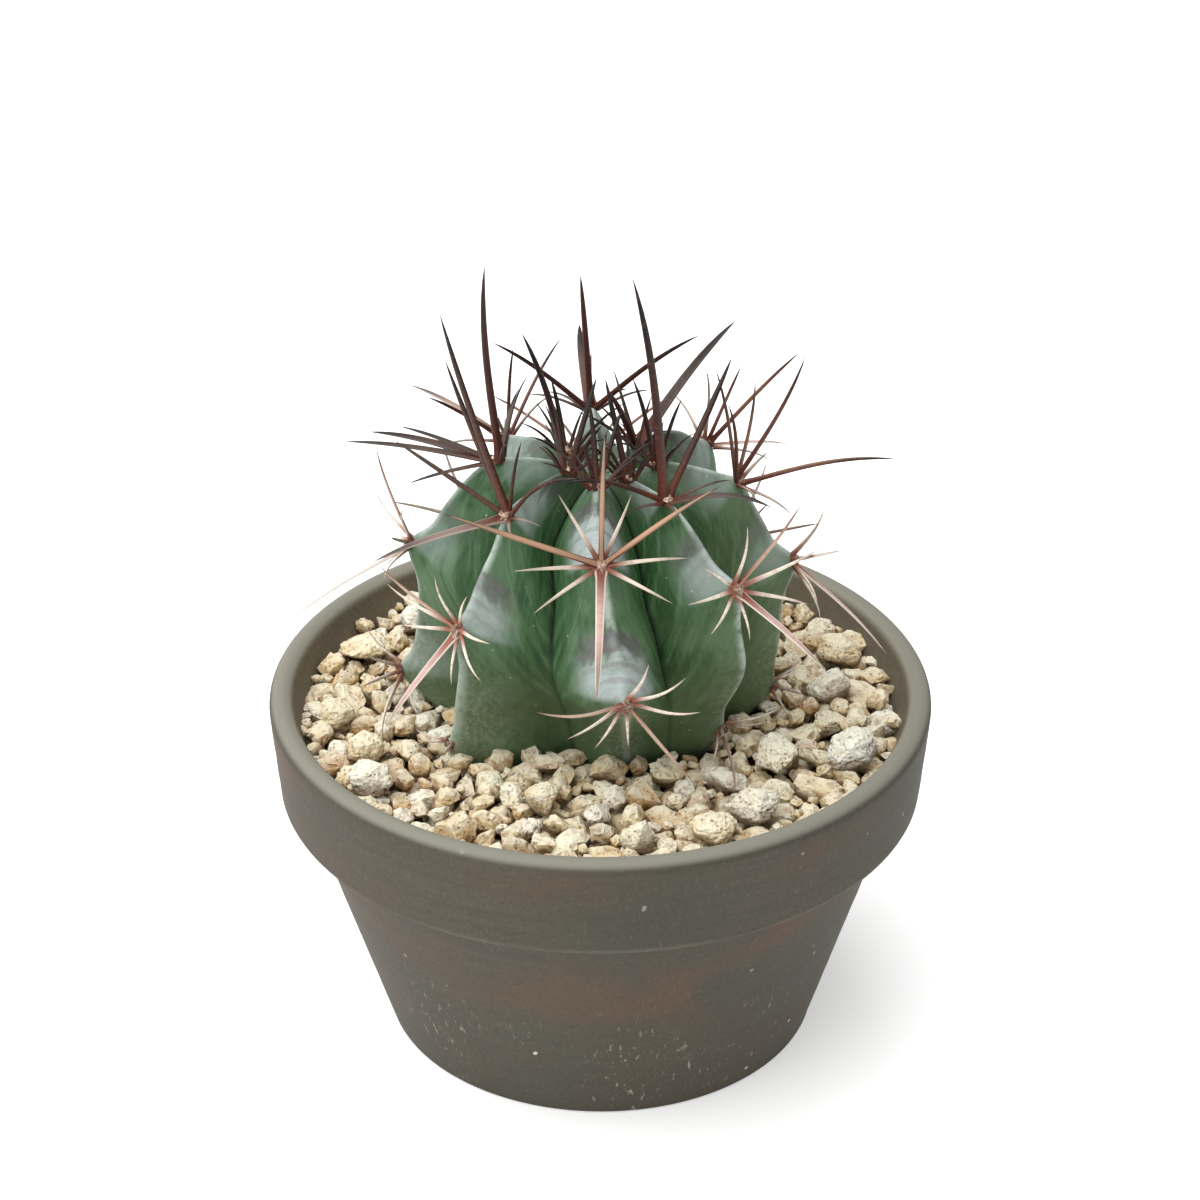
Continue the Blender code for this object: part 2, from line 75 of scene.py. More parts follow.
rim_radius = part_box("pot")[1].x
pot_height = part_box("pot")[1].z
rim_inner_radius = rim_radius - RIM_WIDTH
collar_foot = pot_height - COLLAR_HEIGHT


def rounded(radius, height, bend, start, end, steps=5):
    """A rounded corner as (radius, height) points, turning between two angles in degrees."""
    angles = [radians(start + (end - start) * i / steps) for i in range(steps + 1)]
    return [(radius + bend * cos(a), height + bend * sin(a)) for a in angles]


def straight(start, end, step):
    """Points between two (radius, height) points, no further apart than a step."""
    parts = int(hypot(end[0] - start[0], end[1] - start[1]) / step) + 1
    shares = [i / parts for i in range(1, parts)]
    return [tuple(a + (b - a) * share for a, b in zip(start, end)) for share in shares]


def wall_radius(height):
    """Inside radius of the pot at a height above the ground."""
    slope = (rim_inner_radius - FLOOR_RADIUS) / (pot_height - RIM_ROLL - FLOOR_THICKNESS)
    return FLOOR_RADIUS + slope * (height - FLOOR_THICKNESS)


def pick(*pieces):
    """Selects these pieces and nothing else. The first one is then the active one."""
    bpy.ops.object.select_all(action="DESELECT")
    for piece in pieces:
        piece.select_set(True)
        bpy.context.view_layer.objects.active = pieces[0]


def turned(outline, sides):
    """A skin round the Z axis through (radius, height) points, left open in edit mode."""
    pick()
    bpy.ops.mesh.primitive_circle_add(vertices=sides, radius=outline[0][0])
    bpy.ops.object.mode_set(mode="EDIT")
    bpy.ops.mesh.select_mode(type="EDGE")
    bpy.ops.mesh.select_all(action="SELECT")
    for (radius, height), (next_radius, next_height) in zip(outline, outline[1:]):
        rise = (0, 0, next_height - height)
        bpy.ops.mesh.extrude_region_move(TRANSFORM_OT_translate={"value": rise})
        scale = next_radius / radius
        bpy.ops.transform.resize(value=(scale, scale, 1), center_override=(0, 0, next_height))
    return bpy.context.object


def select_open_edges():
    bpy.ops.mesh.select_all(action="DESELECT")
    bpy.ops.mesh.select_non_manifold()


def close_up():
    """Turns all the faces outwards and leaves edit mode."""
    bpy.ops.mesh.select_all(action="SELECT")
    bpy.ops.mesh.normals_make_consistent(inside=False)
    bpy.ops.object.mode_set(mode="OBJECT")


def pot_outline():
    """From the drain hole out under the base, up the outside, and down inside to the hole."""
    heel = rounded(BASE_RADIUS - EDGE_ROUND, EDGE_ROUND, EDGE_ROUND, -90, 0)
    neck_height = collar_foot - UNDERCUT_ROUND
    neck_radius = BODY_TOP_RADIUS + UNDERCUT_ROUND
    undercut = rounded(neck_radius, neck_height, UNDERCUT_ROUND, 180, 90)
    edge_centre = (COLLAR_FOOT_RADIUS - EDGE_ROUND, collar_foot + EDGE_ROUND)
    edge = rounded(*edge_centre, EDGE_ROUND, -90, 0)
    roll_height = pot_height - RIM_ROLL
    outer_roll = rounded(rim_radius - RIM_ROLL, roll_height, RIM_ROLL, 0, 90, 8)
    inner_roll = rounded(rim_inner_radius + RIM_ROLL, roll_height, RIM_ROLL, 90, 180, 8)
    floor_edge = (FLOOR_RADIUS, FLOOR_THICKNESS)
    outline = [(DRAIN_HOLE_RADIUS, 0)] + heel
    outline += straight(heel[-1], undercut[0], TURNING_RING_STEP) + undercut + edge
    outline += straight(edge[-1], outer_roll[0], TURNING_RING_STEP) + outer_roll + inner_roll
    outline += straight(inner_roll[-1], floor_edge, 3 * TURNING_RING_STEP)
    return outline + [floor_edge, (DRAIN_HOLE_RADIUS, FLOOR_THICKNESS)]


def turn_pot():
    pot = turned(pot_outline(), POT_SEGMENTS)
    pot.name = "clay_pot"
    select_open_edges()
    bpy.ops.mesh.bridge_edge_loops()
    close_up()
    return pot


def leave_turning_marks(pot):
    """The wheel leaves shallow rings, and the wall leans in and out a little."""
    for vert in pot.data.vertices:
        x, y, z = vert.co
        rings = noise.noise(Vector((8 * x, 8 * y, 330 * z)))
        lean = noise.noise(Vector((22 * x, 22 * y, 18 * z + 5)))
        out = Vector((x, y, 0)).normalized()
        vert.co += out * (TURNING_RING_DEPTH * rings + WALL_LEAN * lean)


class Value:
    """One output socket in a material. Arithmetic on it adds Math nodes."""

    def __init__(self, finish, socket):
        self.finish = finish
        self.socket = socket

    def math(self, operation, first, second):
        return self.finish.node("Math", {"operation": operation}, {0: first, 1: second})

    def __add__(self, other):
        return self.math("ADD", self, other)

    def __sub__(self, other):
        return self.math("SUBTRACT", self, other)

    def __rsub__(self, other):
        return self.math("SUBTRACT", other, self)

    def __mul__(self, other):
        return self.math("MULTIPLY", self, other)

    def __pow__(self, other):
        return self.math("POWER", self, other)

    def __abs__(self):
        return self.math("ABSOLUTE", self, 0)

    def wave(self):
        return self.math("SINE", self, 0)

    def above(self, low, high):
        """0 where the value is under low, 1 over high, with a smooth step between."""
        settings = {"interpolation_type": "SMOOTHSTEP"}
        sockets = {"Value": self, "From Min": low, "From Max": high}
        return self.finish.node("MapRange", settings, sockets)

    __radd__, __rmul__ = __add__, __mul__


class Finish:
    """A material made of nodes: node() adds one, with its settings before its sockets."""

    def __init__(self, name, roughness, shine=0.5):
        self.material = bpy.data.materials.new(name)
        self.material.use_nodes = True
        self.tree = self.material.node_tree
        self.shader = self.tree.nodes["Principled BSDF"]
        self.place = self.node("TexCoord", output="Object")
        self.shader.inputs["Roughness"].default_value = roughness
        self.shader.inputs["Specular IOR Level"].default_value = shine

    def node(self, kind, settings=None, sockets=None, output=0):
        node = self.tree.nodes.new("ShaderNode" + kind)
        for name, setting in (settings or {}).items():
            if name == "stops":
                set_stops(node.color_ramp, setting)
            else:
                setattr(node, name, setting)
        for name, value in (sockets or {}).items():
            self.feed(node.inputs[name], value)
        return Value(self, node.outputs[output])

    def feed(self, socket, value):
        if isinstance(value, Value):
            self.tree.links.new(value.socket, socket)
        else:
            socket.default_value = value

    def measured(self, name):
        """A value stored on the piece's points under that name."""
        return self.node("Attribute", {"attribute_name": name}, output="Fac")

    def axes(self):
        parts = self.node("SeparateXYZ", None, {0: self.place}).socket.node
        return [Value(self, socket) for socket in parts.outputs]

    def stretched(self, x, y, z, turn=0):
        """The place with its axes scaled, so that a pattern on it runs longer along some."""
        sockets = {"Vector": self.place, "Scale": (x, y, z), "Rotation": (turn, turn, 0)}
        return self.node("Mapping", None, sockets)

    def cloud(self, scale, detail=3, vector=None, sharp=0.5, bend=0):
        """Soft random patches, from about 0.3 to 0.7, with that many to a metre."""
        sockets = {"Vector": vector or self.place, "Scale": scale, "Detail": detail}
        sockets.update({"Roughness": sharp, "Distortion": bend})
        return self.node("TexNoise", None, sockets)

    def cells(self, scale):
        """Distance from the nearest of many scattered points, and that point's own shade."""
        sockets = {"Vector": self.place, "Scale": scale}
        distance = self.node("TexVoronoi", None, sockets, "Distance")
        shade = Value(self, distance.socket.node.outputs["Color"])
        return distance, self.node("SeparateColor", None, {0: shade})

    def blend(self, share, first, second):
        """The second colour where share is 1, over the first."""
        sockets = {0: share, 6: first, 7: second}
        return self.node("Mix", {"data_type": "RGBA", "clamp_factor": True}, sockets, 2)

    def relief(self, height, depth):
        """Bumps: height runs from 0 to 1, and depth is how deep that is, in metres."""
        sockets = {"Height": height, "Distance": depth, "Strength": 1}
        self.feed(self.shader.inputs["Normal"], self.node("Bump", None, sockets))

    def colour(self, colour):
        self.tone = colour
        self.feed(self.shader.inputs["Base Color"], colour)

    def coat(self, share, colour):
        """Lays a colour over what is there, all of it where share is 1."""
        self.colour(self.blend(share, self.tone, colour))

    def roughness(self, roughness):
        self.feed(self.shader.inputs["Roughness"], roughness)


def set_stops(ramp, stops):
    """Gives a colour ramp its (position, colour) stops, from left to right."""
    for i, (position, colour) in enumerate(stops):
        stop = ramp.elements[i] if i < 2 else ramp.elements.new(position)
        stop.position = position
        stop.color = colour


def rgb(red, green, blue):
    """A colour chosen as it looks, from 0 to 255, as the linear one that a shader takes."""
    parts = [part / 255 for part in (red, green, blue)]
    linear = [((part + 0.055) / 1.055) ** 2.4 for part in parts]
    return (*linear, 1)


def fired_clay():
    clay = Finish("fired_clay", roughness=0.7, shine=0.3)
    x, y, height = clay.axes()
    rings = clay.cloud(1, 4, clay.stretched(30, 30, 1300), 0.6)
    patches = clay.cloud(30, 3, clay.stretched(1, 1, 1.8), 0.55, 0.4)
    broad = clay.cloud(15, 2)
    grit = clay.cloud(1500, 3)
    clay.colour(clay.blend(rings.above(0.3, 0.7), rgb(72, 68, 57), rgb(81, 76, 64)))
    clay.coat(broad.above(0.38, 0.66) * 0.65, rgb(64, 65, 53))
    shoulder = height.above(20 * MM, 34 * MM) * height.above(49 * MM, 44 * MM)
    under_rim = height.above(57 * MM, 61 * MM) * height.above(66 * MM, 63 * MM)
    redness = patches.above(0.38, 0.66) * (0.25 + 0.55 * shoulder + 0.45 * under_rim)
    clay.coat(redness, rgb(91, 69, 53))
    clay.coat(grit.above(0.56, 0.75) * 0.25, rgb(110, 105, 91))
    clay.coat(grit.above(0.46, 0.3) * 0.3, rgb(54, 51, 42))

    low = height.above(34 * MM, 8 * MM)
    cloudy = clay.cloud(55, 3, None, 0.6)
    scuffs = clay.cloud(1, 3, clay.stretched(1100, 1100, 190, 0.3), 0.6).above(0.6, 0.7)
    scuffed = scuffs * cloudy.above(0.46, 0.6) * (0.06 + 0.7 * low)
    clay.coat(scuffed, rgb(160, 156, 140))
    film = clay.cloud(240, 4, None, 0.7).above(0.55, 0.75) * low * cloudy.above(0.45, 0.65)
    clay.coat(film * 0.4, rgb(140, 137, 122))
    distance, shade = clay.cells(260)
    distance = distance + 0.3 * (clay.cloud(900, 2) - 0.5)
    salts = distance.above(0.13, 0.05) * shade.above(0.86, 0.88) * (0.3 + 0.7 * low)
    clay.coat(salts, rgb(205, 200, 182))
    # Painted highlight: a pale line along the collar's foot edge, broken into patches.
    collar_line = abs(height - (collar_foot + 0.7 * MM)).above(0.5 * MM, 0.1 * MM)
    foot_edge_highlight = collar_line * cloudy.above(0.35, 0.6)
    clay.coat(foot_edge_highlight * 0.2, rgb(128, 116, 100))

    radius = (x * x + y * y) ** 0.5
    slope = wall_radius(1) - wall_radius(0)
    inside = (radius - slope * height - wall_radius(0)).above(0.8 * MM, 0.2 * MM)
    # Painted light: the inside of the wall near the rim is coloured lighter, as if lit.
    painted_inner_wall_light = inside * height.above(50 * MM, 56 * MM)
    clay.coat(painted_inner_wall_light * 0.65, clay.blend(grit, rgb(104, 97, 82), rgb(134, 126, 109)))
    # Painted highlight: the top of the rolled rim is coloured lighter, as if lit from above.
    rim_top_highlight = height.above(pot_height - 1.4 * MM, pot_height - 0.3 * MM)
    clay.coat(rim_top_highlight * 0.65, rgb(150, 148, 136))
    clay.roughness(0.6 + 0.2 * rings)
    clay.relief(rings * 0.3 + grit * 0.4 + salts * 0.5, 0.09 * MM)
    return clay.material


def smooth(piece, angle=50):
    """Shades a piece smooth, apart from edges sharper than an angle in degrees."""
    pick(piece)
    bpy.ops.object.shade_smooth_by_angle(angle=radians(angle))


def dress(piece, material):
    piece.data.materials.clear()
    piece.data.materials.append(material)


def finished(piece, material, slot, *nodes):
    """Gives a piece its material, hangs it under the root, and hides the solids it stands for."""
    dress(piece, material)
    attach(piece, "root")
    if nodes:
        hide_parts(*nodes)


pot = turn_pot()
leave_turning_marks(pot)
smooth(pot)
finished(pot, fired_clay(), "clay", "pot")


# The drain screen and the potting mix --------------------------------------------------
# A disc of black plastic net lies over the drain hole and holds back the mix, which is bark
# and loam pressed round the root. Both are seen only from below, through the hole.

def black_net():
    net = Finish("black_net", roughness=0.55)
    scratches = net.cloud(900, 3)
    net.colour(net.blend(scratches, rgb(22, 22, 22), rgb(52, 51, 48)))
    net.relief(scratches, 0.05 * MM)
    return net.material


def loam_and_bark():
    mix = Finish("loam_and_bark", roughness=0.95)
    crumbs = mix.cloud(420, 5, None, 0.65)
    _, shade = mix.cells(330)
    mix.colour(mix.blend(crumbs.above(0.35, 0.65), rgb(38, 28, 20), rgb(92, 70, 50)))
    mix.coat(shade.above(0.8, 0.9) * 0.6, rgb(130, 104, 74))
    mix.relief(crumbs, 0.8 * MM)
    return mix.material


for node, material in (("drain_screen", black_net()), ("potting_mix", loam_and_bark())):
    dress(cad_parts[node], material)


# The stem ------------------------------------------------------------------------------
# Living flesh under a waxy skin, one piece with the root below it. Eight ribs run down from
# the crown. A rib swells into a chin under each areole, and its skin folds above it.

# Outlines of a rib's crest and of the valley beside it in millimetres, from the crown down to
# the root's tip: crest radius, crest height, valley radius, valley height. A place along a rib
# is a station: 0 is the crown, 13 the top of the gravel, and whole numbers are these rows.
OUTLINE = [
    (0, 109, 0, 109),
    (4.5, 110.6, 4, 108.5),
    (9, 112, 8, 106.8),
    (14, 112.4, 11.5, 104),
    (19, 111.2, 14.5, 101),
    (24, 108.3, 17, 97.5),
    (28.3, 103.5, 19.3, 93.5),
    (31.3, 97.5, 21, 89.5),
    (33, 91, 22, 85),
    (33.7, 84, 22.2, 80),
    (33.5, 77, 21.5, 75),
    (32.5, 71, 20, 70),
    (30.5, 65.5, 18.5, 65.5),
    (27.8, 61, 17, 61),
    (24.5, 56.5, 15, 56.5),
    (20, 52, 13, 52),
    (15, 47, 11, 47),
    (10.5, 41, 9.5, 41),
    (7, 34, 7, 34),
    (4, 27, 4, 27),
    (0, 23.5, 0, 23.5),
]
SHOULDER = 4
LIFT_END = 7
SOIL_AREOLE = 12
GRAVEL_LINE = 13
ROOT_TIP = 20
TUCK_FROM_HEIGHT = 84
TUCK_SPAN = 20
FOOT_ROUNDING = 0.2
FLANK_BULGE = 0.15
CHIN_YOUNG = 0.6
CHIN_AT_SOIL = 0.4
VALLEY_SHIFT = {"front": -11, "front_right": 7}
VALLEY_SHIFT_END = 6.5
FILLED_VALLEY = {"front_right": 2.5, "front": -3.5, "front_left": -2}
FILLED_FROM = 8.5
FILLED_TO = 17
CHIN_WIDTH_ABOVE = 0.5
CHIN_WIDTH_BELOW = 0.75
FOLD_SPACING = 1.25
FOLD_DEPTH = 0.07
FOLD_WANDER = 2.5
FOLDS_REACH = 15
FOLD_STATIONS = 3
ARC_SPACING = 2.6
FIN_FROM = 7
FIN_SPAN = 5
ROWS_PER_STATION = 12
ROWS_PER_BURIED_STATION = 2
COLUMNS_PER_RIB = 44
COLUMN_CROWDING = 0.25

# Bearing of each rib at the crown and at its foot, how much the foot draws in, how far the top
# stands up, how blunt the crest is, how full its chins are and how hollow it is between them,
# how pale and folded its skin is above them, how far its foot narrows to a fin, and the
# stations of its areoles from the crown.
RIBS = {
    "left": dict(turn=(-92, -94), tuck=-0.1, lift=0, blunt=0.05, chin=3.1, hollow=1.1,
                 pale=0.35, fin=0.4, areoles=(3.8, 7.5, 11.4)),
    "front_left": dict(turn=(-45, -57), tuck=-0.08, lift=0.5, blunt=0.04, chin=2, hollow=2.8,
                       pale=0.8, fin=1.7, areoles=(1.8, 4.7, 8.2, 12.2)),
    "front": dict(turn=(-3, 15), tuck=0.33, lift=0.5, blunt=0.22, chin=3.1, hollow=1.3,
                  pale=1, fin=0, areoles=(2.7, 5.6, 9.1)),
    "front_right": dict(turn=(40, 60), tuck=0.17, lift=-0.8, blunt=0.05, chin=3.1, hollow=1.5,
                        pale=0.6, fin=0.3, areoles=(1.7, 3.7, 6.9, 12)),
    "right": dict(turn=(89, 93), tuck=-0.02, lift=-1, blunt=0.05, chin=3.1, hollow=1.3,
                  pale=0.4, fin=0.3, areoles=(2.2, 5, 7.9, 12)),
    "back_right": dict(turn=(135, 137), tuck=0, lift=0, blunt=0.08, chin=3.1, hollow=1.3,
                       pale=0.6, fin=0.2, areoles=(2, 5.7, 9.2)),
    "back": dict(turn=(185, 182), tuck=0.04, lift=1.5, blunt=0.12, chin=3.1, hollow=1.3,
                 pale=0.5, fin=0.3, areoles=(4, 7.4, 11)),
    "back_left": dict(turn=(225, 222), tuck=0.03, lift=-1.5, blunt=0.08, chin=3.1, hollow=1.3,
                      pale=0.7, fin=0.5, areoles=(1.9, 5, 8.6, 12)),
}


def ease(x):
    """0 up to 0, 1 from 1, and a smooth step between."""
    x = min(max(x, 0), 1)
    return x * x * (3 - 2 * x)


@lru_cache(None)
def outline_at(station):
    """The four outline values at a station, on a smooth curve through OUTLINE."""
    station = min(max(station, 0), ROOT_TIP)
    i = min(int(station), ROOT_TIP - 1)
    u = station - i
    rows = [OUTLINE[min(max(i + k, 0), ROOT_TIP)] for k in (-1, 0, 1, 2)]
    values = []
    for before, a, b, after in zip(*rows):
        bend = (2 * before - 5 * a + 4 * b - after) * u * u
        twist = (3 * a - 3 * b + after - before) * u ** 3
        values.append(0.5 * (2 * a + (b - before) * u + bend + twist))
    return values


def bearing(rib, station):
    swing = min(max((station - SHOULDER) / (GRAVEL_LINE - SHOULDER), 0), 1)
    top, foot = RIBS[rib]["turn"]
    return top + (foot - top) * swing


def plain_crest(rib, station):
    """Radius and height of a rib's crest, without the chins under its areoles."""
    radius, height, _, _ = outline_at(station)
    tucked = ease((TUCK_FROM_HEIGHT - height) / TUCK_SPAN)
    radius *= 1 - RIBS[rib]["tuck"] * tucked
    height += RIBS[rib]["lift"] * ease(station / 2) * ease((LIFT_END - station) / 4)
    return radius, height


def crest_slope(rib, station):
    """Unit vector down the crest in the (radius, height) plane."""
    r0, z0 = plain_crest(rib, station - 0.05)
    r1, z1 = plain_crest(rib, station + 0.05)
    length = hypot(r1 - r0, z1 - z0)
    return (r1 - r0) / length, (z1 - z0) / length


@lru_cache(None)
def crest(rib, station):
    """Radius and height of a rib's crest, swollen into a chin at each areole."""
    radius, height = plain_crest(rib, station)
    along_r, along_z = crest_slope(rib, station)
    on_side = ease((station - SHOULDER) / 2) * ease((GRAVEL_LINE - station) / 2)
    swell = -RIBS[rib]["hollow"] * on_side
    for areole in RIBS[rib]["areoles"]:
        width = CHIN_WIDTH_ABOVE if station < areole else CHIN_WIDTH_BELOW
        grown = CHIN_YOUNG + (RIBS[rib]["chin"] - CHIN_YOUNG) * ease((areole - SHOULDER) / 3)
        if areole >= SOIL_AREOLE:
            grown *= CHIN_AT_SOIL
        swell += grown * exp(-((station - areole) / width) ** 2)
    return radius - along_z * swell, height + along_r * swell


def polar(radius, compass, height):
    """A point at a compass bearing. Radius and height are in millimetres."""
    angle = radians(compass)
    return Vector((radius * sin(angle), -radius * cos(angle), height)) * MM


def valley_shift(rib, station):
    """Degrees that the valley to the left of a rib is moved, near the crown."""
    return VALLEY_SHIFT.get(rib, 0) * ease((VALLEY_SHIFT_END - station) / 3)


def valley_fill(rib, station):
    """Millimetres that the valley to the left of a rib is filled out by, at the foot."""
    at_foot = ease((station - FILLED_FROM) / 3) * ease((FILLED_TO - station) / 4)
    return FILLED_VALLEY.get(rib, 0) * at_foot


def above_areole(rib, station, side, half_width):
    """Distance in millimetres up from the nearest areole below, and how much that shows."""
    reach, strength = 0, 0
    for areole in RIBS[rib]["areoles"]:
        above = areole - station
        if 0 < above < FOLD_STATIONS and areole < SOIL_AREOLE:
            radius, height = plain_crest(rib, areole)
            here_radius, here_height = plain_crest(rib, station)
            along = hypot(radius - here_radius, height - here_height)
            distance = hypot(along, 0.6 * side * half_width)
            near = ease(1.5 - 2.3 * abs(side)) * ease(above / 0.2) * ease(areole / 3)
            near *= ease((FOLDS_REACH - distance) / 4) * RIBS[rib]["pale"]
            if near > strength:
                reach, strength = distance, near
    return reach, strength


def stem_row(station):
    """For each column: the place on the skin, how far across its rib it is, and its folds."""
    _, _, plain_valley, valley_height = outline_at(station)
    names = list(RIBS)
    row = []
    for i, rib in enumerate(names):
        middle = bearing(rib, station)
        after = names[(i + 1) % len(names)]
        to_before = ((middle - bearing(names[i - 1], station)) % 360) / 2
        to_before -= valley_shift(rib, station)
        to_after = ((bearing(after, station) - middle) % 360) / 2 + valley_shift(after, station)
        crest_radius, crest_height = crest(rib, station)
        half_width = crest_radius * radians(to_before)
        blunt = RIBS[rib]["blunt"] + FOOT_ROUNDING * ease((station - 10) / 4)
        full = sqrt(1 + blunt ** 2) - blunt
        narrow = 1 + RIBS[rib]["fin"] * ease((station - FIN_FROM) / FIN_SPAN)
        for column in range(COLUMNS_PER_RIB):
            t = 2 * column / COLUMNS_PER_RIB - 1
            side = t * abs(t) ** COLUMN_CROWDING
            fall = (sqrt(side ** 2 + blunt ** 2) - blunt) / full
            fall = 1 - (1 - min(fall, 1)) ** narrow
            swell = FLANK_BULGE * sin(pi * abs(side) ** 1.4) * ease(station / 5)
            reach, strength = above_areole(rib, station, side, half_width)
            wander = FOLD_WANDER * noise.noise(Vector((2.5 * side, 0.8 * station, i)))
            wave = 0.5 + 0.5 * sin(2 * pi * reach / FOLD_SPACING + wander)
            swell -= FOLD_DEPTH * wave * strength
            valley_radius = plain_valley + valley_fill(rib if side < 0 else after, station)
            radius = crest_radius + (valley_radius - crest_radius) * fall + swell
            height = crest_height + (valley_height - crest_height) * fall
            turn = side * (to_before if side < 0 else to_after)
            place = polar(radius, middle + turn, height)
            row.append((place, abs(side), wave, reach / FOLDS_REACH, strength))
    return row + row[:1]


def mark_points(piece, names, rows):
    """Stores named values on a piece, with a row for each point, for its material to read."""
    for name, values in zip(names.split(), zip(*rows)):
        piece.data.attributes.new(name, "FLOAT", "POINT").data.foreach_set("value", values)


def weld(distance):
    """Opens the active piece in edit mode and merges its points that meet."""
    bpy.ops.object.mode_set(mode="EDIT")
    bpy.ops.mesh.select_all(action="SELECT")
    bpy.ops.mesh.remove_doubles(threshold=distance)


def grow_stem():
    in_sight = [i / ROWS_PER_STATION for i in range(GRAVEL_LINE * ROWS_PER_STATION)]
    first, last = GRAVEL_LINE * ROWS_PER_BURIED_STATION, ROOT_TIP * ROWS_PER_BURIED_STATION
    stations = in_sight + [i / ROWS_PER_BURIED_STATION for i in range(first, last + 1)]
    columns, rows = COLUMNS_PER_RIB * len(RIBS), len(stations) - 1
    pick()
    bpy.ops.mesh.primitive_grid_add(x_subdivisions=columns, y_subdivisions=rows, size=1)
    stem = bpy.context.object
    stem.name = "cactus_stem"
    skin = [stem_row(station) for station in stations]
    marks = []
    for vert in stem.data.vertices:
        column = round((vert.co.x + 0.5) * columns)
        row = round((0.5 - vert.co.y) * rows)
        vert.co, *values = skin[row][column]
        marks.append((*values, min(stations[row] / GRAVEL_LINE, 1)))
    mark_points(stem, "across wave reach strength down", marks)
    weld(0.001 * MM)
    close_up()
    return stem


def waxy_skin():
    skin = Finish("waxy_skin", roughness=0.45, shine=0.3)
    across, down, wave = map(skin.measured, ("across", "down", "wave"))
    reach, strength = map(skin.measured, ("reach", "strength"))
    x, _, _ = skin.axes()
    lengthwise = skin.node("UVMap", {"uv_map": "UVMap"})
    stretch = {"Vector": lengthwise, "Scale": (260, 9, 1)}
    streaks = skin.cloud(1, 4, skin.node("Mapping", None, stretch), 0.6)
    spread = {"X": across * 9 - down * 26, "Y": down * 5 + across, "Z": x * 25}
    fans = skin.cloud(1, 3, skin.node("CombineXYZ", None, spread), 0.6)
    patches = skin.cloud(95, 4, None, 0.6)
    broad = skin.cloud(38, 2, None, 0.5, 0.5)
    bloom = skin.cloud(330, 4, None, 0.65)
    skin.colour(skin.blend(streaks.above(0.35, 0.65), rgb(42, 76, 43), rgb(62, 98, 58)))
    skin.coat(broad.above(0.5, 0.34) * 0.55, rgb(34, 62, 34))
    skin.coat(broad.above(0.5, 0.66) * 0.5, rgb(88, 116, 78))
    skin.coat(fans.above(0.5, 0.68) * 0.4, rgb(110, 140, 106))
    skin.coat(fans.above(0.5, 0.36) * 0.4, rgb(26, 50, 26))
    # Painted light: the right side of the stem (+X) is coloured lighter and more olive.
    skin.coat(x.above(8 * MM, 32 * MM) * 0.5, rgb(84, 98, 58))
    young = down.above(0.34, 0.12)
    skin.coat(young * 0.4, rgb(112, 138, 106))
    # Lower down the skin is older and paler, and it is also painted lighter, as painted light over
    # the shade there.
    old_skin_and_painted_light = down.above(0.6, 0.85)
    skin.coat(old_skin_and_painted_light * 0.6, skin.blend(bloom, rgb(74, 96, 62), rgb(124, 146, 110)))
    rounded_flank = across.above(0.75, 0.3)
    skin.coat(rounded_flank * 0.3 * patches.above(0.4, 0.6), rgb(112, 142, 112))

    # Painted highlight: a pale line along each rib's crest, broken up by the bloom pattern.
    crest_highlight = across.above(0.11, 0.0)
    skin.coat(crest_highlight * bloom.above(0.25, 0.55) * 0.85, rgb(190, 204, 194))
    scurf = skin.cloud(1100, 3, None, 0.7).above(0.45, 0.62)
    scaly = down.above(0.6, 0.88) * across.above(0.55, 0.0) * (0.4 * bloom + 0.6 * scurf)
    skin.coat(scaly * 0.75, rgb(162, 172, 154))
    edge = reach + 0.9 * (patches - 0.5) + 0.4 * (fans - 0.5)
    pale = edge.above(0.68, 0.42) * strength
    skin.coat(pale * 0.85, skin.blend(bloom, rgb(128, 148, 138), rgb(206, 212, 214)))
    bands = reach * (2 * pi * FOLDS_REACH / ARC_SPACING) + patches * 9 + across * 4
    bands = bands.wave().above(0.1, 0.8) * edge.above(0.12, 0.3) * strength
    skin.coat(bands * 0.3, rgb(104, 88, 96))
    arc = edge.above(0.5, 0.64) * edge.above(0.95, 0.72) * strength
    purple = skin.blend(patches.above(0.4, 0.6), rgb(74, 68, 70), rgb(122, 110, 120))
    skin.coat(arc * 0.65, purple)
    # Painted shade in the hollows of the folds above each areole.
    skin.coat(strength * wave.above(0.6, 1.0) * 0.18, rgb(84, 90, 88))
    # Painted shade: a dark line down each valley between the ribs, fainter low on the stem.
    crease = across.above(0.9, 1.0)
    skin.coat(crease * (0.8 - 0.5 * old_skin_and_painted_light), rgb(22, 40, 22))
    distance, shade = skin.cells(700)
    flecks = distance.above(0.2, 0.1) * shade.above(0.94, 0.96)
    skin.coat(flecks * 0.5, rgb(178, 190, 170))
    skin.roughness(0.42 + 0.3 * bloom)
    skin.relief(streaks * 0.5 + bloom * 0.5, 0.1 * MM)
    return skin.material


stem = grow_stem()
smooth(stem, 80)
finished(stem, waxy_skin(), "flesh", "cactus_body")


# The gravel ----------------------------------------------------------------------------
# Crushed pumice, sieved to a few millimetres and poured round the stem to keep its neck dry.
# Fourteen larger stones lie loose on it; its own dust fills the gaps lower down, dark as painted
# shade.

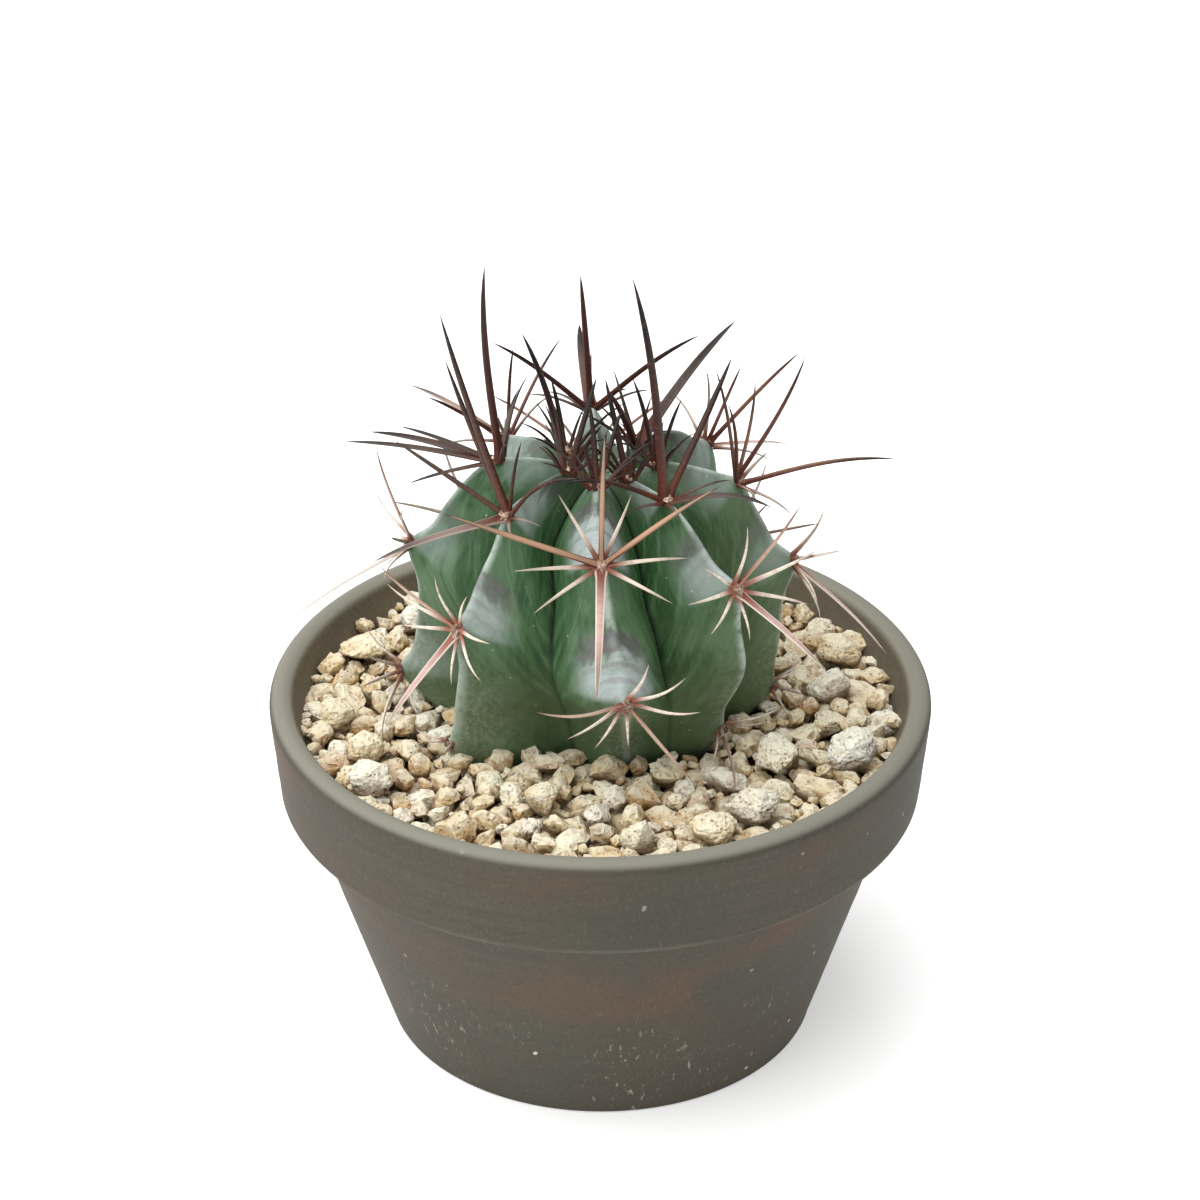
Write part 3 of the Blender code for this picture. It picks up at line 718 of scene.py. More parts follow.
GRAIN_SEED = 11
GRAIN_SHAPES = 14
GRAIN_FACES = 180
GRAIN_BREAKS = 7
BREAK_DEPTHS = (0.56, 0.92)
EVEN_FACE = 0.11
CORNER_WEAR = 5
LUMPINESS, DENTS = 0.16, 0.2
CHIP_FACES = 64
GRAIN_SIZES = (3.4 * MM, 6.6 * MM)
CHIP_SIZES = (1.9 * MM, 2.9 * MM)
GRAVEL_FLOOR = 53 * MM
DUST_TOP = 57 * MM
GRAVEL_TOP = 62.8 * MM
GRAVEL_ROLL = 0.6 * MM
NECK_STATION = 12.6
SECTORS = 6
PLACES_TRIED = 10
ROLLING_WAYS = 8
ROLLING_STEPS = (1.2 * MM, 1.2 * MM, 0.6 * MM, 0.6 * MM, 0.3 * MM, 0.3 * MM)
MISSES_ALLOWED = 260
STONES = 14
STONE_BREAKS = 9
STONE_BREAK_DEPTHS = (0.55, 0.8)
STONE_TINTS = (0.2, 0.52, 0.78, 0.82)
GRAIN_LENGTH, GRAIN_WIDTH, GRAIN_DEPTH = (1.05, 1.5), (0.85, 1.1), (0.7, 0.95)
GRAIN_TILT = 0.6
# The middle of a piece comes to rest this far or more below the gravel's top, in its radii.
GRAIN_SUNK, CHIP_SUNK = 0.45, 1.6

neck = sorted((degrees(atan2(point.x, -point.y)) % 360, hypot(point.x, point.y))
              for point, *_ in stem_row(NECK_STATION))
neck_bearings, neck_radii = np.array(neck).T


def chance_direction(chance):
    return Vector([chance.gauss(0, 1) for _ in range(3)]).normalized()


def modify(piece, kind, **settings):
    """Puts a modifier on the active piece and applies it."""
    modifier = piece.modifiers.new(kind, kind)
    for name, setting in settings.items():
        setattr(modifier, name, setting)
    bpy.ops.object.modifier_apply(modifier=kind)


def break_pumice(chance, faces):
    """A lump 2 across: a ball with sides broken off flat, its corners rounded off and its skin
    uneven.
    """
    pick()
    bpy.ops.mesh.primitive_ico_sphere_add(subdivisions=3, radius=1.1)
    lump = bpy.context.object
    bpy.ops.object.mode_set(mode="EDIT")
    for _ in range(GRAIN_BREAKS):
        facing = chance_direction(chance)
        bpy.ops.mesh.select_all(action="SELECT")
        bpy.ops.mesh.bisect(
            plane_co=facing * chance.uniform(*BREAK_DEPTHS),
            plane_no=facing,
            use_fill=True,
            clear_outer=True,
        )
    bpy.ops.object.mode_set(mode="OBJECT")
    modify(lump, "REMESH", voxel_size=EVEN_FACE)
    modify(lump, "SMOOTH", iterations=CORNER_WEAR)
    offset = chance_direction(chance) * 20
    heights = []
    for vert in lump.data.vertices:
        coarse = noise.noise(vert.co * 1.6 + offset)
        dents = min(noise.noise(vert.co * 3.6 + offset), 0.15)
        vert.co *= 1 + LUMPINESS * coarse + DENTS * dents
        # The dents are stored as height, from which the pumice material paints shade in the dents
        # and highlight on the bumps.
        heights.append(0.5 + dents)
    mark_points(lump, "height", zip(heights))
    triangles = 2 * len(lump.data.polygons)
    modify(lump, "DECIMATE", ratio=faces / triangles)
    return lump


def gravel_top(x, y):
    """Height that the gravel is poured to, which rolls a little round the stem."""
    radius, compass = np.hypot(x, y), np.arctan2(x, -y)
    share = np.clip((radius - 28 * MM) / (27 * MM), 0, 1)
    roll = np.sin(3 * compass + 1) + np.sin(7 * compass + 4 * share)
    return GRAVEL_TOP + GRAVEL_ROLL * roll / 2


def rest_heights(x, y, size, heap):
    """Where a ball of that radius comes to rest on the heap at each of several places."""
    reach = (size + heap[:, 3]) ** 2
    apart = (x[:, None] - heap[:, 0]) ** 2 + (y[:, None] - heap[:, 1]) ** 2
    on_top = np.where(apart < reach, heap[:, 2] + np.sqrt(np.maximum(reach - apart, 0)), 0)
    return np.maximum(on_top.max(axis=1, initial=0), GRAVEL_FLOOR + size)


def in_the_pot(x, y, size):
    radius = np.hypot(x, y)
    bearings = np.degrees(np.arctan2(x, -y)) % 360
    stem = np.interp(bearings, neck_bearings, neck_radii, period=360)
    return (radius > stem + 0.9 * size) & (radius < wall_radius(GRAVEL_TOP) - size)


def pour(chance, sizes, sunk, heap, stones):
    """Drops balls of those sizes one by one, each rolling down to a hollow. Adds to the heap."""
    poured, misses = [], 0
    while misses < MISSES_ALLOWED:
        size = chance.uniform(*sizes) / 2
        compass = np.array([chance.uniform(0, 2 * pi) for _ in range(PLACES_TRIED)])
        radius = np.array([sqrt(chance.uniform(0.1, 1)) for _ in range(PLACES_TRIED)])
        x = radius * rim_inner_radius * np.sin(compass)
        y = -radius * rim_inner_radius * np.cos(compass)
        inside = in_the_pot(x, y, size)
        if not inside.any():
            continue
        x, y = x[inside], y[inside]
        heights = rest_heights(x, y, size, heap)
        best = heights.argmin()
        x, y, z = x[best], y[best], heights[best]
        for step in ROLLING_STEPS:
            around = np.arange(ROLLING_WAYS) * 2 * pi / ROLLING_WAYS
            next_x, next_y = x + step * np.cos(around), y + step * np.sin(around)
            heights = rest_heights(next_x, next_y, size, heap)
            heights[~in_the_pot(next_x, next_y, size)] = 1
            best = heights.argmin()
            if heights[best] < z:
                x, y, z = next_x[best], next_y[best], heights[best]
        to_stones = np.hypot(np.hypot(x - stones[:, 0], y - stones[:, 1]), z - stones[:, 2])
        if z + sunk * size > gravel_top(x, y) or (to_stones < 0.9 * size + stones[:, 3]).any():
            misses += 1
            continue
        misses = 0
        heap = np.vstack([heap, (x, y, z, size)])
        poured.append((x, y, z, size))
    return heap, poured


def join(pieces, name):
    pick(*pieces)
    bpy.ops.object.join()
    pieces[0].name = pieces[0].data.name = name
    return pieces[0]


def copied(piece):
    twin = piece.copy()
    twin.data = piece.data.copy()
    bpy.context.collection.objects.link(twin)
    return twin


def mark(piece, name, value):
    """Stores one value on all the points of a piece, for its material to read."""
    mark_points(piece, name, [(value,)] * len(piece.data.vertices))


def scatter(chance, shapes, places):
    """A turned and slightly squashed copy of a lump at each place, grouped by sector."""
    groups = [[] for _ in range(SECTORS)]
    for x, y, z, size in places:
        grain = copied(chance.choice(shapes))
        lie = Matrix.Rotation(chance.uniform(0, 2 * pi), 4, chance_direction(chance))
        spans = GRAIN_LENGTH, GRAIN_WIDTH, GRAIN_DEPTH
        squash = [size * chance.uniform(*span) for span in spans]
        turn = Matrix.Rotation(chance.uniform(0, 2 * pi), 4, "Z")
        tilt = Matrix.Rotation(chance.uniform(-GRAIN_TILT, GRAIN_TILT), 4, "X")
        flat = Matrix.Diagonal((*squash, 1))
        grain.data.transform(Matrix.Translation((x, y, z)) @ turn @ tilt @ flat @ lie)
        # Each point's height on its grain, from which the pumice material paints shade underneath
        # and highlight on top.
        uppers = [(vert.co.z - z) / size for vert in grain.data.vertices]
        mark_points(grain, "upper", zip(uppers))
        mark(grain, "tint", chance.random())
        groups[int(SECTORS * (atan2(y, x) / (2 * pi) % 1))].append(grain)
    return groups


PUMICE_TINTS = [
    (0.00, rgb(204, 168, 116)),
    (0.16, rgb(248, 230, 188)),
    (0.34, rgb(216, 184, 132)),
    (0.52, rgb(255, 246, 218)),
    (0.68, rgb(236, 212, 166)),
    (0.82, rgb(255, 253, 240)),
    (0.93, rgb(204, 160, 106)),
    (1.00, rgb(176, 162, 134)),
]


def pumice():
    stone = Finish("pumice", roughness=0.95, shine=0.2)
    stone.colour(stone.node("ValToRGB", {"stops": PUMICE_TINTS}, {"Fac": stone.measured("tint")}))
    height = stone.measured("height")
    mottled = stone.cloud(300, 4, None, 0.65)
    crust = stone.cloud(750, 4, None, 0.7)
    bubbles, shade = stone.cells(1200)
    stone.coat(mottled.above(0.5, 0.68) * 0.4, rgb(206, 164, 108))
    # Painted shade in the dents and hollows of each piece, and a painted highlight on its bumps.
    stone.coat(height.above(0.5, 0.2) * 0.5, rgb(146, 104, 56))
    stone.coat(height.above(0.5, 0.64) * 0.3, rgb(255, 252, 240))
    stone.coat(crust.above(0.46, 0.3) * 0.5, rgb(128, 92, 50))
    stone.coat(crust.above(0.54, 0.7) * 0.4, rgb(255, 248, 226))
    upper = stone.measured("upper")
    # Painted shade on the underside of each piece, and a painted highlight on its top.
    stone.coat(upper.above(0.25, -0.45) * 0.74, rgb(110, 74, 36))
    stone.coat(upper.above(0.2, 0.85) * 0.5, rgb(255, 251, 230))
    pits = bubbles.above(0.34, 0.14) * shade.above(0.6, 0.75)
    stone.coat(pits * 0.3, rgb(84, 66, 46))
    stone.relief(crust * 0.9 + mottled * 0.9 - pits * 0.4, 1.1 * MM)
    return stone.material


def pumice_dust_and_shade():
    dust_and_shade = Finish("pumice_dust_and_shade", roughness=1)
    grit = dust_and_shade.cloud(900, 5, None, 0.7)
    # Painted shade: the dust is coloured dark brown to stand for the shade in the gaps between
    # grains.
    dust_and_shade.colour(dust_and_shade.blend(grit.above(0.35, 0.65), rgb(66, 46, 26), rgb(104, 76, 44)))
    dust_and_shade.relief(grit, 0.5 * MM)
    return dust_and_shade.material


def lay_dust():
    """The bed under the grains keeps the ring's outline, but lies lower and is rough."""
    dust_and_shade = copied(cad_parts["gravel_bed"])
    dust_and_shade.name = "pumice_dust_and_shade"
    bottom, top = (corner.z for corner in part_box("gravel_bed"))
    pick(dust_and_shade)
    weld(0.01 * MM)
    bpy.ops.transform.resize(
        value=(1, 1, (DUST_TOP - bottom) / (top - bottom)),
        center_override=(0, 0, bottom),
    )
    bpy.ops.mesh.subdivide(number_cuts=3)
    bpy.ops.object.mode_set(mode="OBJECT")
    for vert in dust_and_shade.data.vertices:
        if vert.co.z > bottom + 2 * MM:
            vert.co.z += 0.8 * MM * noise.noise(vert.co * 320)
    return dust_and_shade


def shape_stone(node, chance):
    """A big lump: the plain stone with flats broken on it, then creases and burst bubbles."""
    stone = copied(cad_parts[node])
    stone.name = node.replace("pumice_stone", "large_pumice")
    low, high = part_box(node)
    middle, half = (low + high) / 2, (high - low) / 2
    pick(stone)
    weld(0.01 * MM)
    bpy.ops.object.mode_set(mode="OBJECT")
    modify(stone, "SUBSURF", levels=3, render_levels=3)
    depths = STONE_BREAK_DEPTHS
    breaks = [(chance_direction(chance), chance.uniform(*depths)) for _ in range(STONE_BREAKS)]
    offset = chance_direction(chance) * 20
    marks = []
    for vert in stone.data.vertices:
        place = Vector([a / b for a, b in zip(vert.co - middle, half)]) * 1.08
        for facing, depth in breaks:
            beyond = place.dot(facing) - depth
            if beyond > 0:
                place -= facing * beyond * 0.85
        lumps = noise.noise(place * 2.2 + offset) + 0.5 * noise.noise(place * 6 + offset)
        pocks = max(0, noise.noise(place * 9 - offset) - 0.25)
        folds = Vector((place.x, place.y, 2.6 * place.z)) * 1.9 + offset
        creases = max(0, 0.12 - abs(noise.noise(folds)))
        place *= 1 + 0.1 * lumps - 0.3 * pocks - 0.5 * creases
        vert.co = middle + Vector([a * b for a, b in zip(place, half)])
        # Height is low in pocks and creases and high on lumps; with upper, it lets the pumice
        # material paint shade and highlight.
        height = 0.58 + 0.2 * lumps - 0.5 * pocks - 1.5 * creases
        marks.append((height, (vert.co.z - middle.z) / half.z))
    mark_points(stone, "height upper", marks)
    return stone


chance = random.Random(GRAIN_SEED)
pumice_finish = pumice()
stone_nodes = [f"pumice_stone_{number:02d}" for number in range(1, STONES + 1)]
obstacles = []
for node in stone_nodes:
    low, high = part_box(node)
    width = (high.x - low.x + high.y - low.y) / 4
    obstacles.append((*(low + high) / 2, 0.8 * width))
    stone = shape_stone(node, chance)
    smooth(stone, 60)
    mark(stone, "tint", chance.choice(STONE_TINTS))
    finished(stone, pumice_finish, "stone", node)

heap = np.zeros((0, 4))
heap, grain_places = pour(chance, GRAIN_SIZES, GRAIN_SUNK, heap, np.array(obstacles))
heap, chip_places = pour(chance, CHIP_SIZES, CHIP_SUNK, heap, np.array(obstacles))
grain_shapes = [break_pumice(chance, GRAIN_FACES) for _ in range(GRAIN_SHAPES)]
chip_shapes = [break_pumice(chance, CHIP_FACES) for _ in range(GRAIN_SHAPES // 2)]
grain_groups = scatter(chance, grain_shapes, grain_places)
chip_groups = scatter(chance, chip_shapes, chip_places)
for shape in grain_shapes + chip_shapes:
    bpy.data.objects.remove(shape)
for number, (grains, chips) in enumerate(zip(grain_groups, chip_groups), 1):
    part = join(grains + chips, f"pumice_gravel_{number}")
    smooth(part, 42)
    finished(part, pumice_finish, "gravel")
dust_and_shade = lay_dust()
finished(dust_and_shade, pumice_dust_and_shade(), "gravel", "gravel_bed")


# The areoles ---------------------------------------------------------------------------
# Each is a small pad of felted wool on a rib's crest, with its spines rooted in it. A spine is
# hard, solid and ringed: dark centrals stand out, and paler radials lie along the skin.

# Spines of each areole from the crown down, as (clock, rise, length in millimetres), and for a
# bent one how far its middle stands off a straight line, as a share of its length. Clock 0
# points up the rib, and 90 to the right of someone facing it. Rise is the lean off the skin.
SPINES = {
    "left": [
        [(20, 72, 39), (172, 28, 27), (180, 38, 18), (196, 22, 24), (152, 12, 17), (62, 30, 12),
         (300, 30, 14), (330, 45, 16)],
        [(340, 32, 18), (300, 40, 12), (155, 42, 27), (205, 15, 9), (60, 15, 12), (104, 14, 11),
         (25, 15, 10), (250, 15, 10)],
        [(37, 25, 10), (330, 30, 10), (112, 10, 16), (74, 28, 11), (250, 25, 9)],
    ],
    "front_left": [
        [(340, 76, 17), (280, 40, 14), (95, 60, 12), (215, 66, 13)],
        [(322, 60, 30), (341, 68, 41), (265, 40, 23), (200, 25, 25), (64, 26, 22, 0.12),
         (24, 52, 16), (90, 14, 11), (120, 20, 10)],
        [(345, 19, 11), (22, 6, 9), (318, 36, 18), (290, 22, 15), (255, 14, 12), (199, 20, 23),
         (172, 4, 10), (74, 12, 14), (108, 14, 13)],
        [(300, 18, 7), (50, 18, 7), (272, 20, 7)],
    ],
    "front": [
        [(345, 62, 15), (30, 55, 14), (290, 34, 13), (70, 34, 13), (200, 60, 12)],
        [(2, 48, 28), (282, 32, 32), (63, 38, 28), (262, 20, 16), (90, 22, 16), (328, 12, 14),
         (24, 12, 13), (232, 12, 15), (122, 18, 15), (182, 26, 28)],
        [(286, 20, 18, 0.12), (256, 22, 12), (225, 22, 9), (141, 14, 18), (178, 8, 8),
         (86, 18, 13, 0.1), (50, 16, 13, 0.12), (14, 20, 13)],
    ],
    "front_right": [
        [(10, 80, 18), (290, 52, 9), (70, 44, 8), (175, 60, 12)],
        [(350, 66, 41), (62, 36, 28), (300, 8, 19, 0.1), (155, 22, 20, 0.1), (258, 12, 13),
         (205, 12, 9), (110, 14, 12)],
        [(355, 32, 14), (26, 44, 20), (80, 30, 16), (122, 16, 14), (162, 28, 21), (190, 6, 9),
         (246, 5, 11), (280, 6, 14), (312, 6, 10)],
        [(305, 10, 9), (285, 34, 18), (262, 18, 9), (62, 24, 12), (84, 26, 10)],
    ],
    "right": [
        [(0, 84, 17), (262, 48, 14), (95, 44, 13), (180, 62, 13)],
        [(353, 77, 27), (182, 46, 28, 0.06), (60, 46, 18), (28, 36, 20), (325, 40, 22),
         (215, 12, 12), (262, 12, 11), (112, 15, 12)],
        [(60, 34, 12), (118, 36, 14), (180, 30, 26), (214, 12, 12), (250, 12, 12), (300, 16, 13),
         (335, 26, 14)],
        [(20, 22, 7), (300, 30, 8), (70, 32, 8), (250, 26, 7)],
    ],
    "back_right": [
        [(330, 60, 20), (205, 40, 28), (120, 40, 14), (60, 30, 12)],
        [(2, 36, 15), (335, 46, 17), (300, 58, 24), (60, 20, 12), (120, 15, 12), (180, 30, 24),
         (240, 15, 12)],
        [(0, 35, 16), (290, 30, 17), (70, 30, 17), (182, 28, 23), (225, 12, 11), (135, 12, 11),
         (325, 14, 11), (35, 14, 11)],
    ],
    "back": [
        [(8, 56, 28), (60, 30, 24), (310, 26, 27), (100, 12, 12), (262, 12, 12), (180, 36, 26),
         (222, 14, 12), (138, 14, 12)],
        [(356, 38, 20), (286, 32, 22), (72, 32, 22), (180, 28, 26), (226, 12, 13), (136, 12, 13),
         (322, 14, 12), (36, 14, 12)],
        [(0, 34, 13), (290, 24, 13), (68, 24, 13), (128, 14, 11), (236, 14, 11)],
    ],
    "back_left": [
        [(165, 58, 23), (300, 45, 14), (190, 55, 13), (110, 36, 13)],
        [(355, 50, 18), (284, 34, 22), (72, 34, 21), (180, 38, 26), (225, 14, 12), (136, 14, 12),
         (322, 16, 12), (36, 16, 12)],
        [(0, 32, 16), (288, 28, 16), (70, 28, 16), (182, 26, 22), (230, 12, 11), (132, 12, 11)],
        [(20, 22, 7), (300, 30, 7), (70, 32, 8)],
    ],
}
SPINE_SEED = 5
SPINE_SIDES = 10
SPINE_RINGS = 15
CENTRAL_LENGTH = 17
CENTRAL_RISE = 50
FLAT_CLOCKS = (150, 210)
FLAT_RISE = 45
CROWN_STATION = 3
CROWN_STOUTNESS = 0.7
STOUT_TO = 6
YOUNG_BRISTLES = 6

# Girth is half a spine's width in millimetres: a start, and what each millimetre of its length
# adds. Taper is the share that is gone at the tip, shape is how wide and how deep the spine is
# in girths, and bow is how far its middle stands off a straight line.
CENTRAL_GIRTH, RADIAL_GIRTH = (0.17, 0.0118), (0.27, 0.012)
CENTRAL_TAPER, RADIAL_TAPER, FLAT_TAPER = 0.4, 0.65, 0.5
ROUND_SHAPE, FLAT_SHAPE = (1.05, 0.85), (1.9, 0.6)
CENTRAL_BOW, RADIAL_BOW, SIDEWAYS_BOW = 0.03, 0.07, 0.015

ROOT_DEPTH = 0.5 * MM
CENTRAL_ROOT_SPREAD = 0.5 * MM
RADIAL_ROOT_SPREAD = 1.2 * MM
PAD_SIZE = (1.0 * MM, 1.2 * MM, 0.6 * MM)
PAD_LIFT = 0.1 * MM
CLEAR_OF_SKIN = 10 * MM


def girth(along):
    """Half width of a spine, as a share: a swollen base, even sides and a short point."""
    return (1 - along ** 8) * (1 + 0.35 * exp(-((along / 0.05) ** 2)))


def draw_spine():
    """One straight spine, 1 long and 1 from its middle to its side, to copy the rest from."""
    steps = [(ring / SPINE_RINGS) ** 1.2 for ring in range(SPINE_RINGS + 1)]
    spine = turned([(girth(step), step) for step in steps], SPINE_SIDES)
    weld(0.001)
    select_open_edges()
    bpy.ops.mesh.edge_face_add()
    close_up()
    return spine


def grow_spine(straight_spine, areole, spine, station, chance):
    """A copy of the straight spine, rooted in an areole, as stout and as bent as it should be."""
    centre, side, up, out = areole
    clock, rise, length, *bow = spine
    turn, lean = radians(clock), radians(rise)
    away = side * sin(turn) + up * cos(turn)
    central = length >= CENTRAL_LENGTH or rise >= CENTRAL_RISE
    flat = central and FLAT_CLOCKS[0] <= clock <= FLAT_CLOCKS[1] and rise <= FLAT_RISE
    thinnest, growth = CENTRAL_GIRTH if central else RADIAL_GIRTH
    half_width = (thinnest + growth * length) * MM
    slimmer = FLAT_TAPER if flat else CENTRAL_TAPER if central else RADIAL_TAPER
    if central:
        half_width *= 1 + CROWN_STOUTNESS * ease((STOUT_TO - station) / 4)
    wide, thin = FLAT_SHAPE if flat else ROUND_SHAPE
    bow = bow[0] if bow else CENTRAL_BOW if central else RADIAL_BOW

    tip = centre + (away * cos(lean) + out * sin(lean)) * length * MM
    spread = CENTRAL_ROOT_SPREAD if central else RADIAL_ROOT_SPREAD
    root = centre + away * spread - out * ROOT_DEPTH
    aim = (tip - root).normalized()
    reach = (tip - root).length
    upper = (out - aim * out.dot(aim)).normalized()
    flank = upper.cross(aim)
    sideways = chance.uniform(-SIDEWAYS_BOW, SIDEWAYS_BOW)
    grown = copied(straight_spine)
    marks = []
    for vert in grown.data.vertices:
        x, y, t = vert.co
        bend = 4 * t ** 1.3 * (1 - t ** 1.3) * reach
        vert.co = root + aim * t * reach
        slim = (1 - slimmer * t) * half_width
        vert.co += upper * (y * thin * slim + bend * bow)
        vert.co += flank * (x * wide * slim + bend * sideways)
        width = max(girth(t), 0.01)
        marks.append((t, y / width, abs(x) / width if flat else 0, t * length))
    mark_points(grown, "along top edge millimetres", marks)
    mark(grown, "pale", 0.5 if flat else 0 if central or station < CROWN_STATION else 1)
    mark(grown, "shade", chance.random())
    return grown


def young_bristles(chance):
    """Thin spines still opening out round the centrals of an areole on the crown."""
    clocks = [(i + chance.uniform(-0.3, 0.3)) * 360 / YOUNG_BRISTLES for i in range(YOUNG_BRISTLES)]
    return [(clock, chance.uniform(22, 48), chance.uniform(7, 12)) for clock in clocks]


def felt_pad(ball, areole, chance):
    """A tufted pad of wool, half sunk in the skin."""
    centre, side, up, out = areole
    pad = copied(ball)
    offset = chance_direction(chance) * 20
    for vert in pad.data.vertices:
        tufts = 0.5 * noise.noise(vert.co * 2 + offset) + 0.4 * noise.noise(vert.co * 5 + offset)
        x, y, z = [a * b * (1 + tufts) for a, b in zip(vert.co, PAD_SIZE)]
        vert.co = centre + side * x + up * y + out * z
    return pad


def areole_frame(rib, station, skin):
    """An areole's middle on the skin, and unit vectors to its right, up the rib and out."""
    radius, height = crest(rib, station)
    along_r, along_z = crest_slope(rib, station)
    compass = bearing(rib, station)
    up = polar(-along_r, compass, -along_z).normalized()
    out = polar(-along_z, compass, along_r).normalized()
    side = polar(1, compass + 90, 0).normalized()
    start = polar(radius, compass, height) + out * CLEAR_OF_SKIN
    surface = skin.ray_cast(start, -out)[0]
    return surface + out * PAD_LIFT, side, up, out


def spine_horn():
    horn = Finish("spine_horn", roughness=0.42, shine=0.22)
    along, age, pale = map(horn.measured, ("along", "age", "pale"))
    edge, shade, top = map(horn.measured, ("edge", "shade", "top"))
    flat = 1 - 2 * abs(pale - 0.5)
    base = [(0.15, rgb(92, 48, 36)), (0.38, rgb(84, 40, 30)), (0.6, rgb(128, 60, 48)),
            (0.95, rgb(156, 118, 104))]
    middle = [(0.15, rgb(44, 28, 26)), (0.37, rgb(60, 32, 26)), (0.43, rgb(164, 118, 94)),
              (0.6, rgb(204, 172, 158)), (0.95, rgb(198, 182, 170))]
    tip = [(0.15, rgb(14, 12, 14)), (0.38, rgb(24, 18, 18)), (0.6, rgb(136, 104, 92)),
           (0.95, rgb(172, 156, 144))]
    base, middle, tip = [horn.node("ValToRGB", {"stops": stops}, {"Fac": age})
                         for stops in (base, middle, tip)]
    grown = age.above(0.3, 0.5)
    base = horn.blend(pale * 0.45 * grown, base, rgb(190, 132, 110))
    middle = horn.blend(pale * (0.1 + 0.85 * grown), middle, rgb(240, 230, 214))
    middle = horn.blend(flat * 0.8 * grown, middle, rgb(198, 162, 158))
    tip = horn.blend(pale * (0.05 + 0.75 * grown), tip, rgb(222, 208, 188))
    horn.colour(horn.blend(along.above(0.05, 0.4), base, middle))
    horn.coat(along.above(0.35 + 0.4 * age, 0.7 + 0.3 * age), tip)
    rings = {"X": shade * 40, "Y": 0.0, "Z": horn.measured("millimetres")}
    rings = horn.cloud(1.1, 4, horn.node("CombineXYZ", None, rings), 0.7)
    fibres = horn.cloud(1100, 3, None, 0.6)
    horn.coat(rings.above(0.52, 0.64) * 0.4 * grown, rgb(150, 108, 92))
    horn.coat(fibres.above(0.52, 0.7) * (0.1 + 0.2 * grown), rgb(178, 120, 92))
    horn.coat(shade.above(0.6, 1.0) * 0.25 * (1 - grown), rgb(98, 92, 80))
    # Painted shade on the underside of each spine, and a painted highlight along its upper side.
    horn.coat(top.above(0.1, -0.7) * 0.55, rgb(84, 44, 36))
    lit = top.above(0.6, 0.9) * (0.06 + 0.94 * age.above(0.35, 0.45)) * (1 - pale) * (1 - flat)
    horn.coat(lit * 0.45, rgb(218, 188, 156))
    horn.coat(edge.above(0.55, 0.8) * (0.03 + 0.77 * grown), rgb(240, 228, 216))
    horn.roughness(0.34 + 0.3 * fibres)
    horn.relief(rings * 0.7 + fibres * 0.3, 0.12 * MM)
    return horn.material


def areole_wool():
    wool = Finish("areole_wool", roughness=1)
    felt = wool.cloud(1600, 4, None, 0.7)
    fresh = wool.blend(felt.above(0.4, 0.7), rgb(150, 104, 80), rgb(226, 214, 196))
    stale = wool.blend(felt.above(0.4, 0.7), rgb(104, 76, 62), rgb(184, 170, 152))
    wool.colour(wool.blend(wool.measured("age").above(0.4, 0.95), fresh, stale))
    wool.relief(felt, 0.3 * MM)
    return wool.material


chance = random.Random(SPINE_SEED)
skin = BVHTree.FromPolygons(
    [vert.co for vert in stem.data.vertices],
    [face.vertices for face in stem.data.polygons],
)
straight_spine = draw_spine()
bpy.ops.mesh.primitive_ico_sphere_add(subdivisions=3, radius=1)
wool_ball = bpy.context.object
dress(wool_ball, areole_wool())
dress(straight_spine, spine_horn())
for rib, areoles in SPINES.items():
    for number, (station, spines) in enumerate(zip(RIBS[rib]["areoles"], areoles), 1):
        areole = areole_frame(rib, station, skin)
        if station < CROWN_STATION:
            spines = spines + young_bristles(chance)
        parts = [grow_spine(straight_spine, areole, spine, station, chance) for spine in spines]
        parts.append(felt_pad(wool_ball, areole, chance))
        cluster = join(parts, f"areole_{rib}_{number}")
        mark(cluster, "age", station / GRAVEL_LINE)
        smooth(cluster, 60)
        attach(cluster, "root")
        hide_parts(f"spines_{rib}_{number}")
bpy.data.objects.remove(straight_spine)
bpy.data.objects.remove(wool_ball)


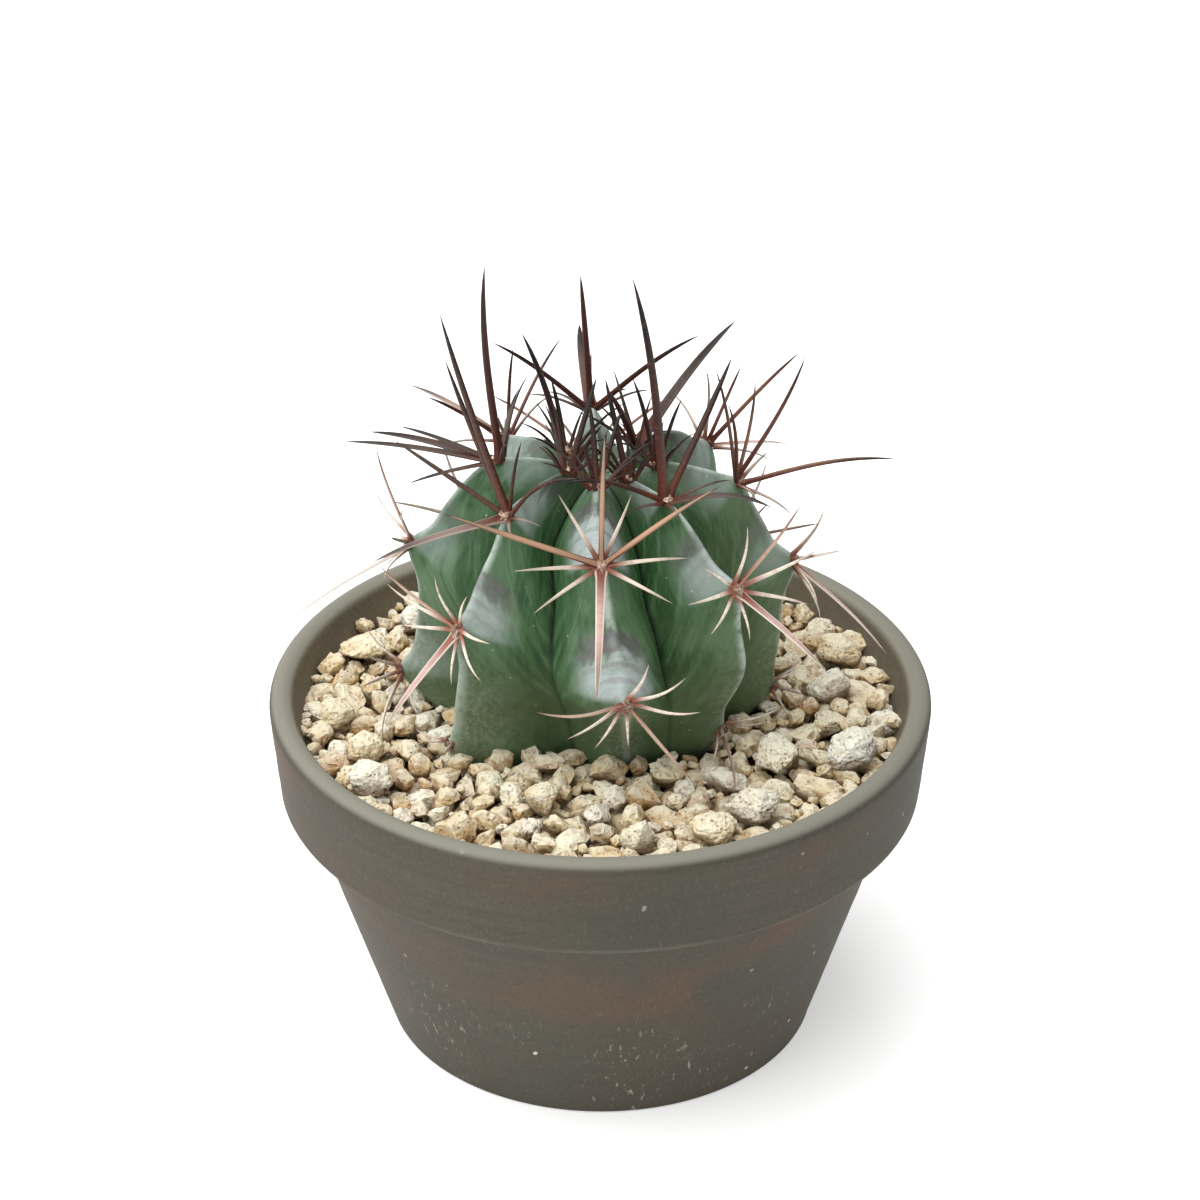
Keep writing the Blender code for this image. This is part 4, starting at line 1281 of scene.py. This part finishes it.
# Camera, light and floor ---------------------------------------------------------------
# A table laid with white paper, which shines a little itself as on a light table. A wide lamp
# hangs over it, and the room is brighter on the left, where its window is.

CAMERA_PLACE = (-0.1 * MM, -539.6 * MM, 389.3 * MM)
CAMERA_AIM = (-0.1 * MM, 0, 84 * MM)
CAMERA_LENS = 103.97
TABLE_GLOW = 0.42
LAMP_PLACE = (-0.42, -0.12, 1.5)
LAMP_AIM = (0, 0, 60 * MM)
LAMP_SIZE = 2
LAMP_WATTS = 35
ROOM_LEFT, ROOM_RIGHT = 0.84, 0.18


def point_at(thing, target):
    aim = Vector(target) - thing.location
    thing.rotation_euler = aim.to_track_quat("-Z", "Y").to_euler()


bpy.ops.object.camera_add(location=CAMERA_PLACE)
camera = bpy.context.object
camera.data.lens = CAMERA_LENS
point_at(camera, CAMERA_AIM)
bpy.context.scene.camera = camera

bpy.ops.mesh.primitive_plane_add(size=6)
table = bpy.context.object
table.name = "table"
paper = Finish("white_table", roughness=0.9)
paper.colour(rgb(246, 246, 246))
paper.shader.inputs["Emission Color"].default_value = (1, 1, 1, 1)
paper.shader.inputs["Emission Strength"].default_value = TABLE_GLOW
dress(table, paper.material)

bpy.ops.object.light_add(type="AREA", location=LAMP_PLACE)
lamp = bpy.context.object
lamp.name = "key"
lamp.data.size = LAMP_SIZE
lamp.data.energy = LAMP_WATTS
point_at(lamp, LAMP_AIM)

room = bpy.data.worlds.new("room")
bpy.context.scene.world = room
room.use_nodes = True
nodes, links = room.node_tree.nodes, room.node_tree.links
background = nodes["Background"]
background.inputs["Color"].default_value = (1, 1, 1, 1)
bearings = nodes.new("ShaderNodeTexCoord")
across = nodes.new("ShaderNodeSeparateXYZ")
strength = nodes.new("ShaderNodeMapRange")
limits = {"From Min": -1, "From Max": 1, "To Min": ROOM_LEFT, "To Max": ROOM_RIGHT}
for socket, value in limits.items():
    strength.inputs[socket].default_value = value
links.new(bearings.outputs["Generated"], across.inputs["Vector"])
links.new(across.outputs["X"], strength.inputs["Value"])
links.new(strength.outputs["Result"], background.inputs["Strength"])
bpy.context.scene.view_settings.view_transform = "Standard"
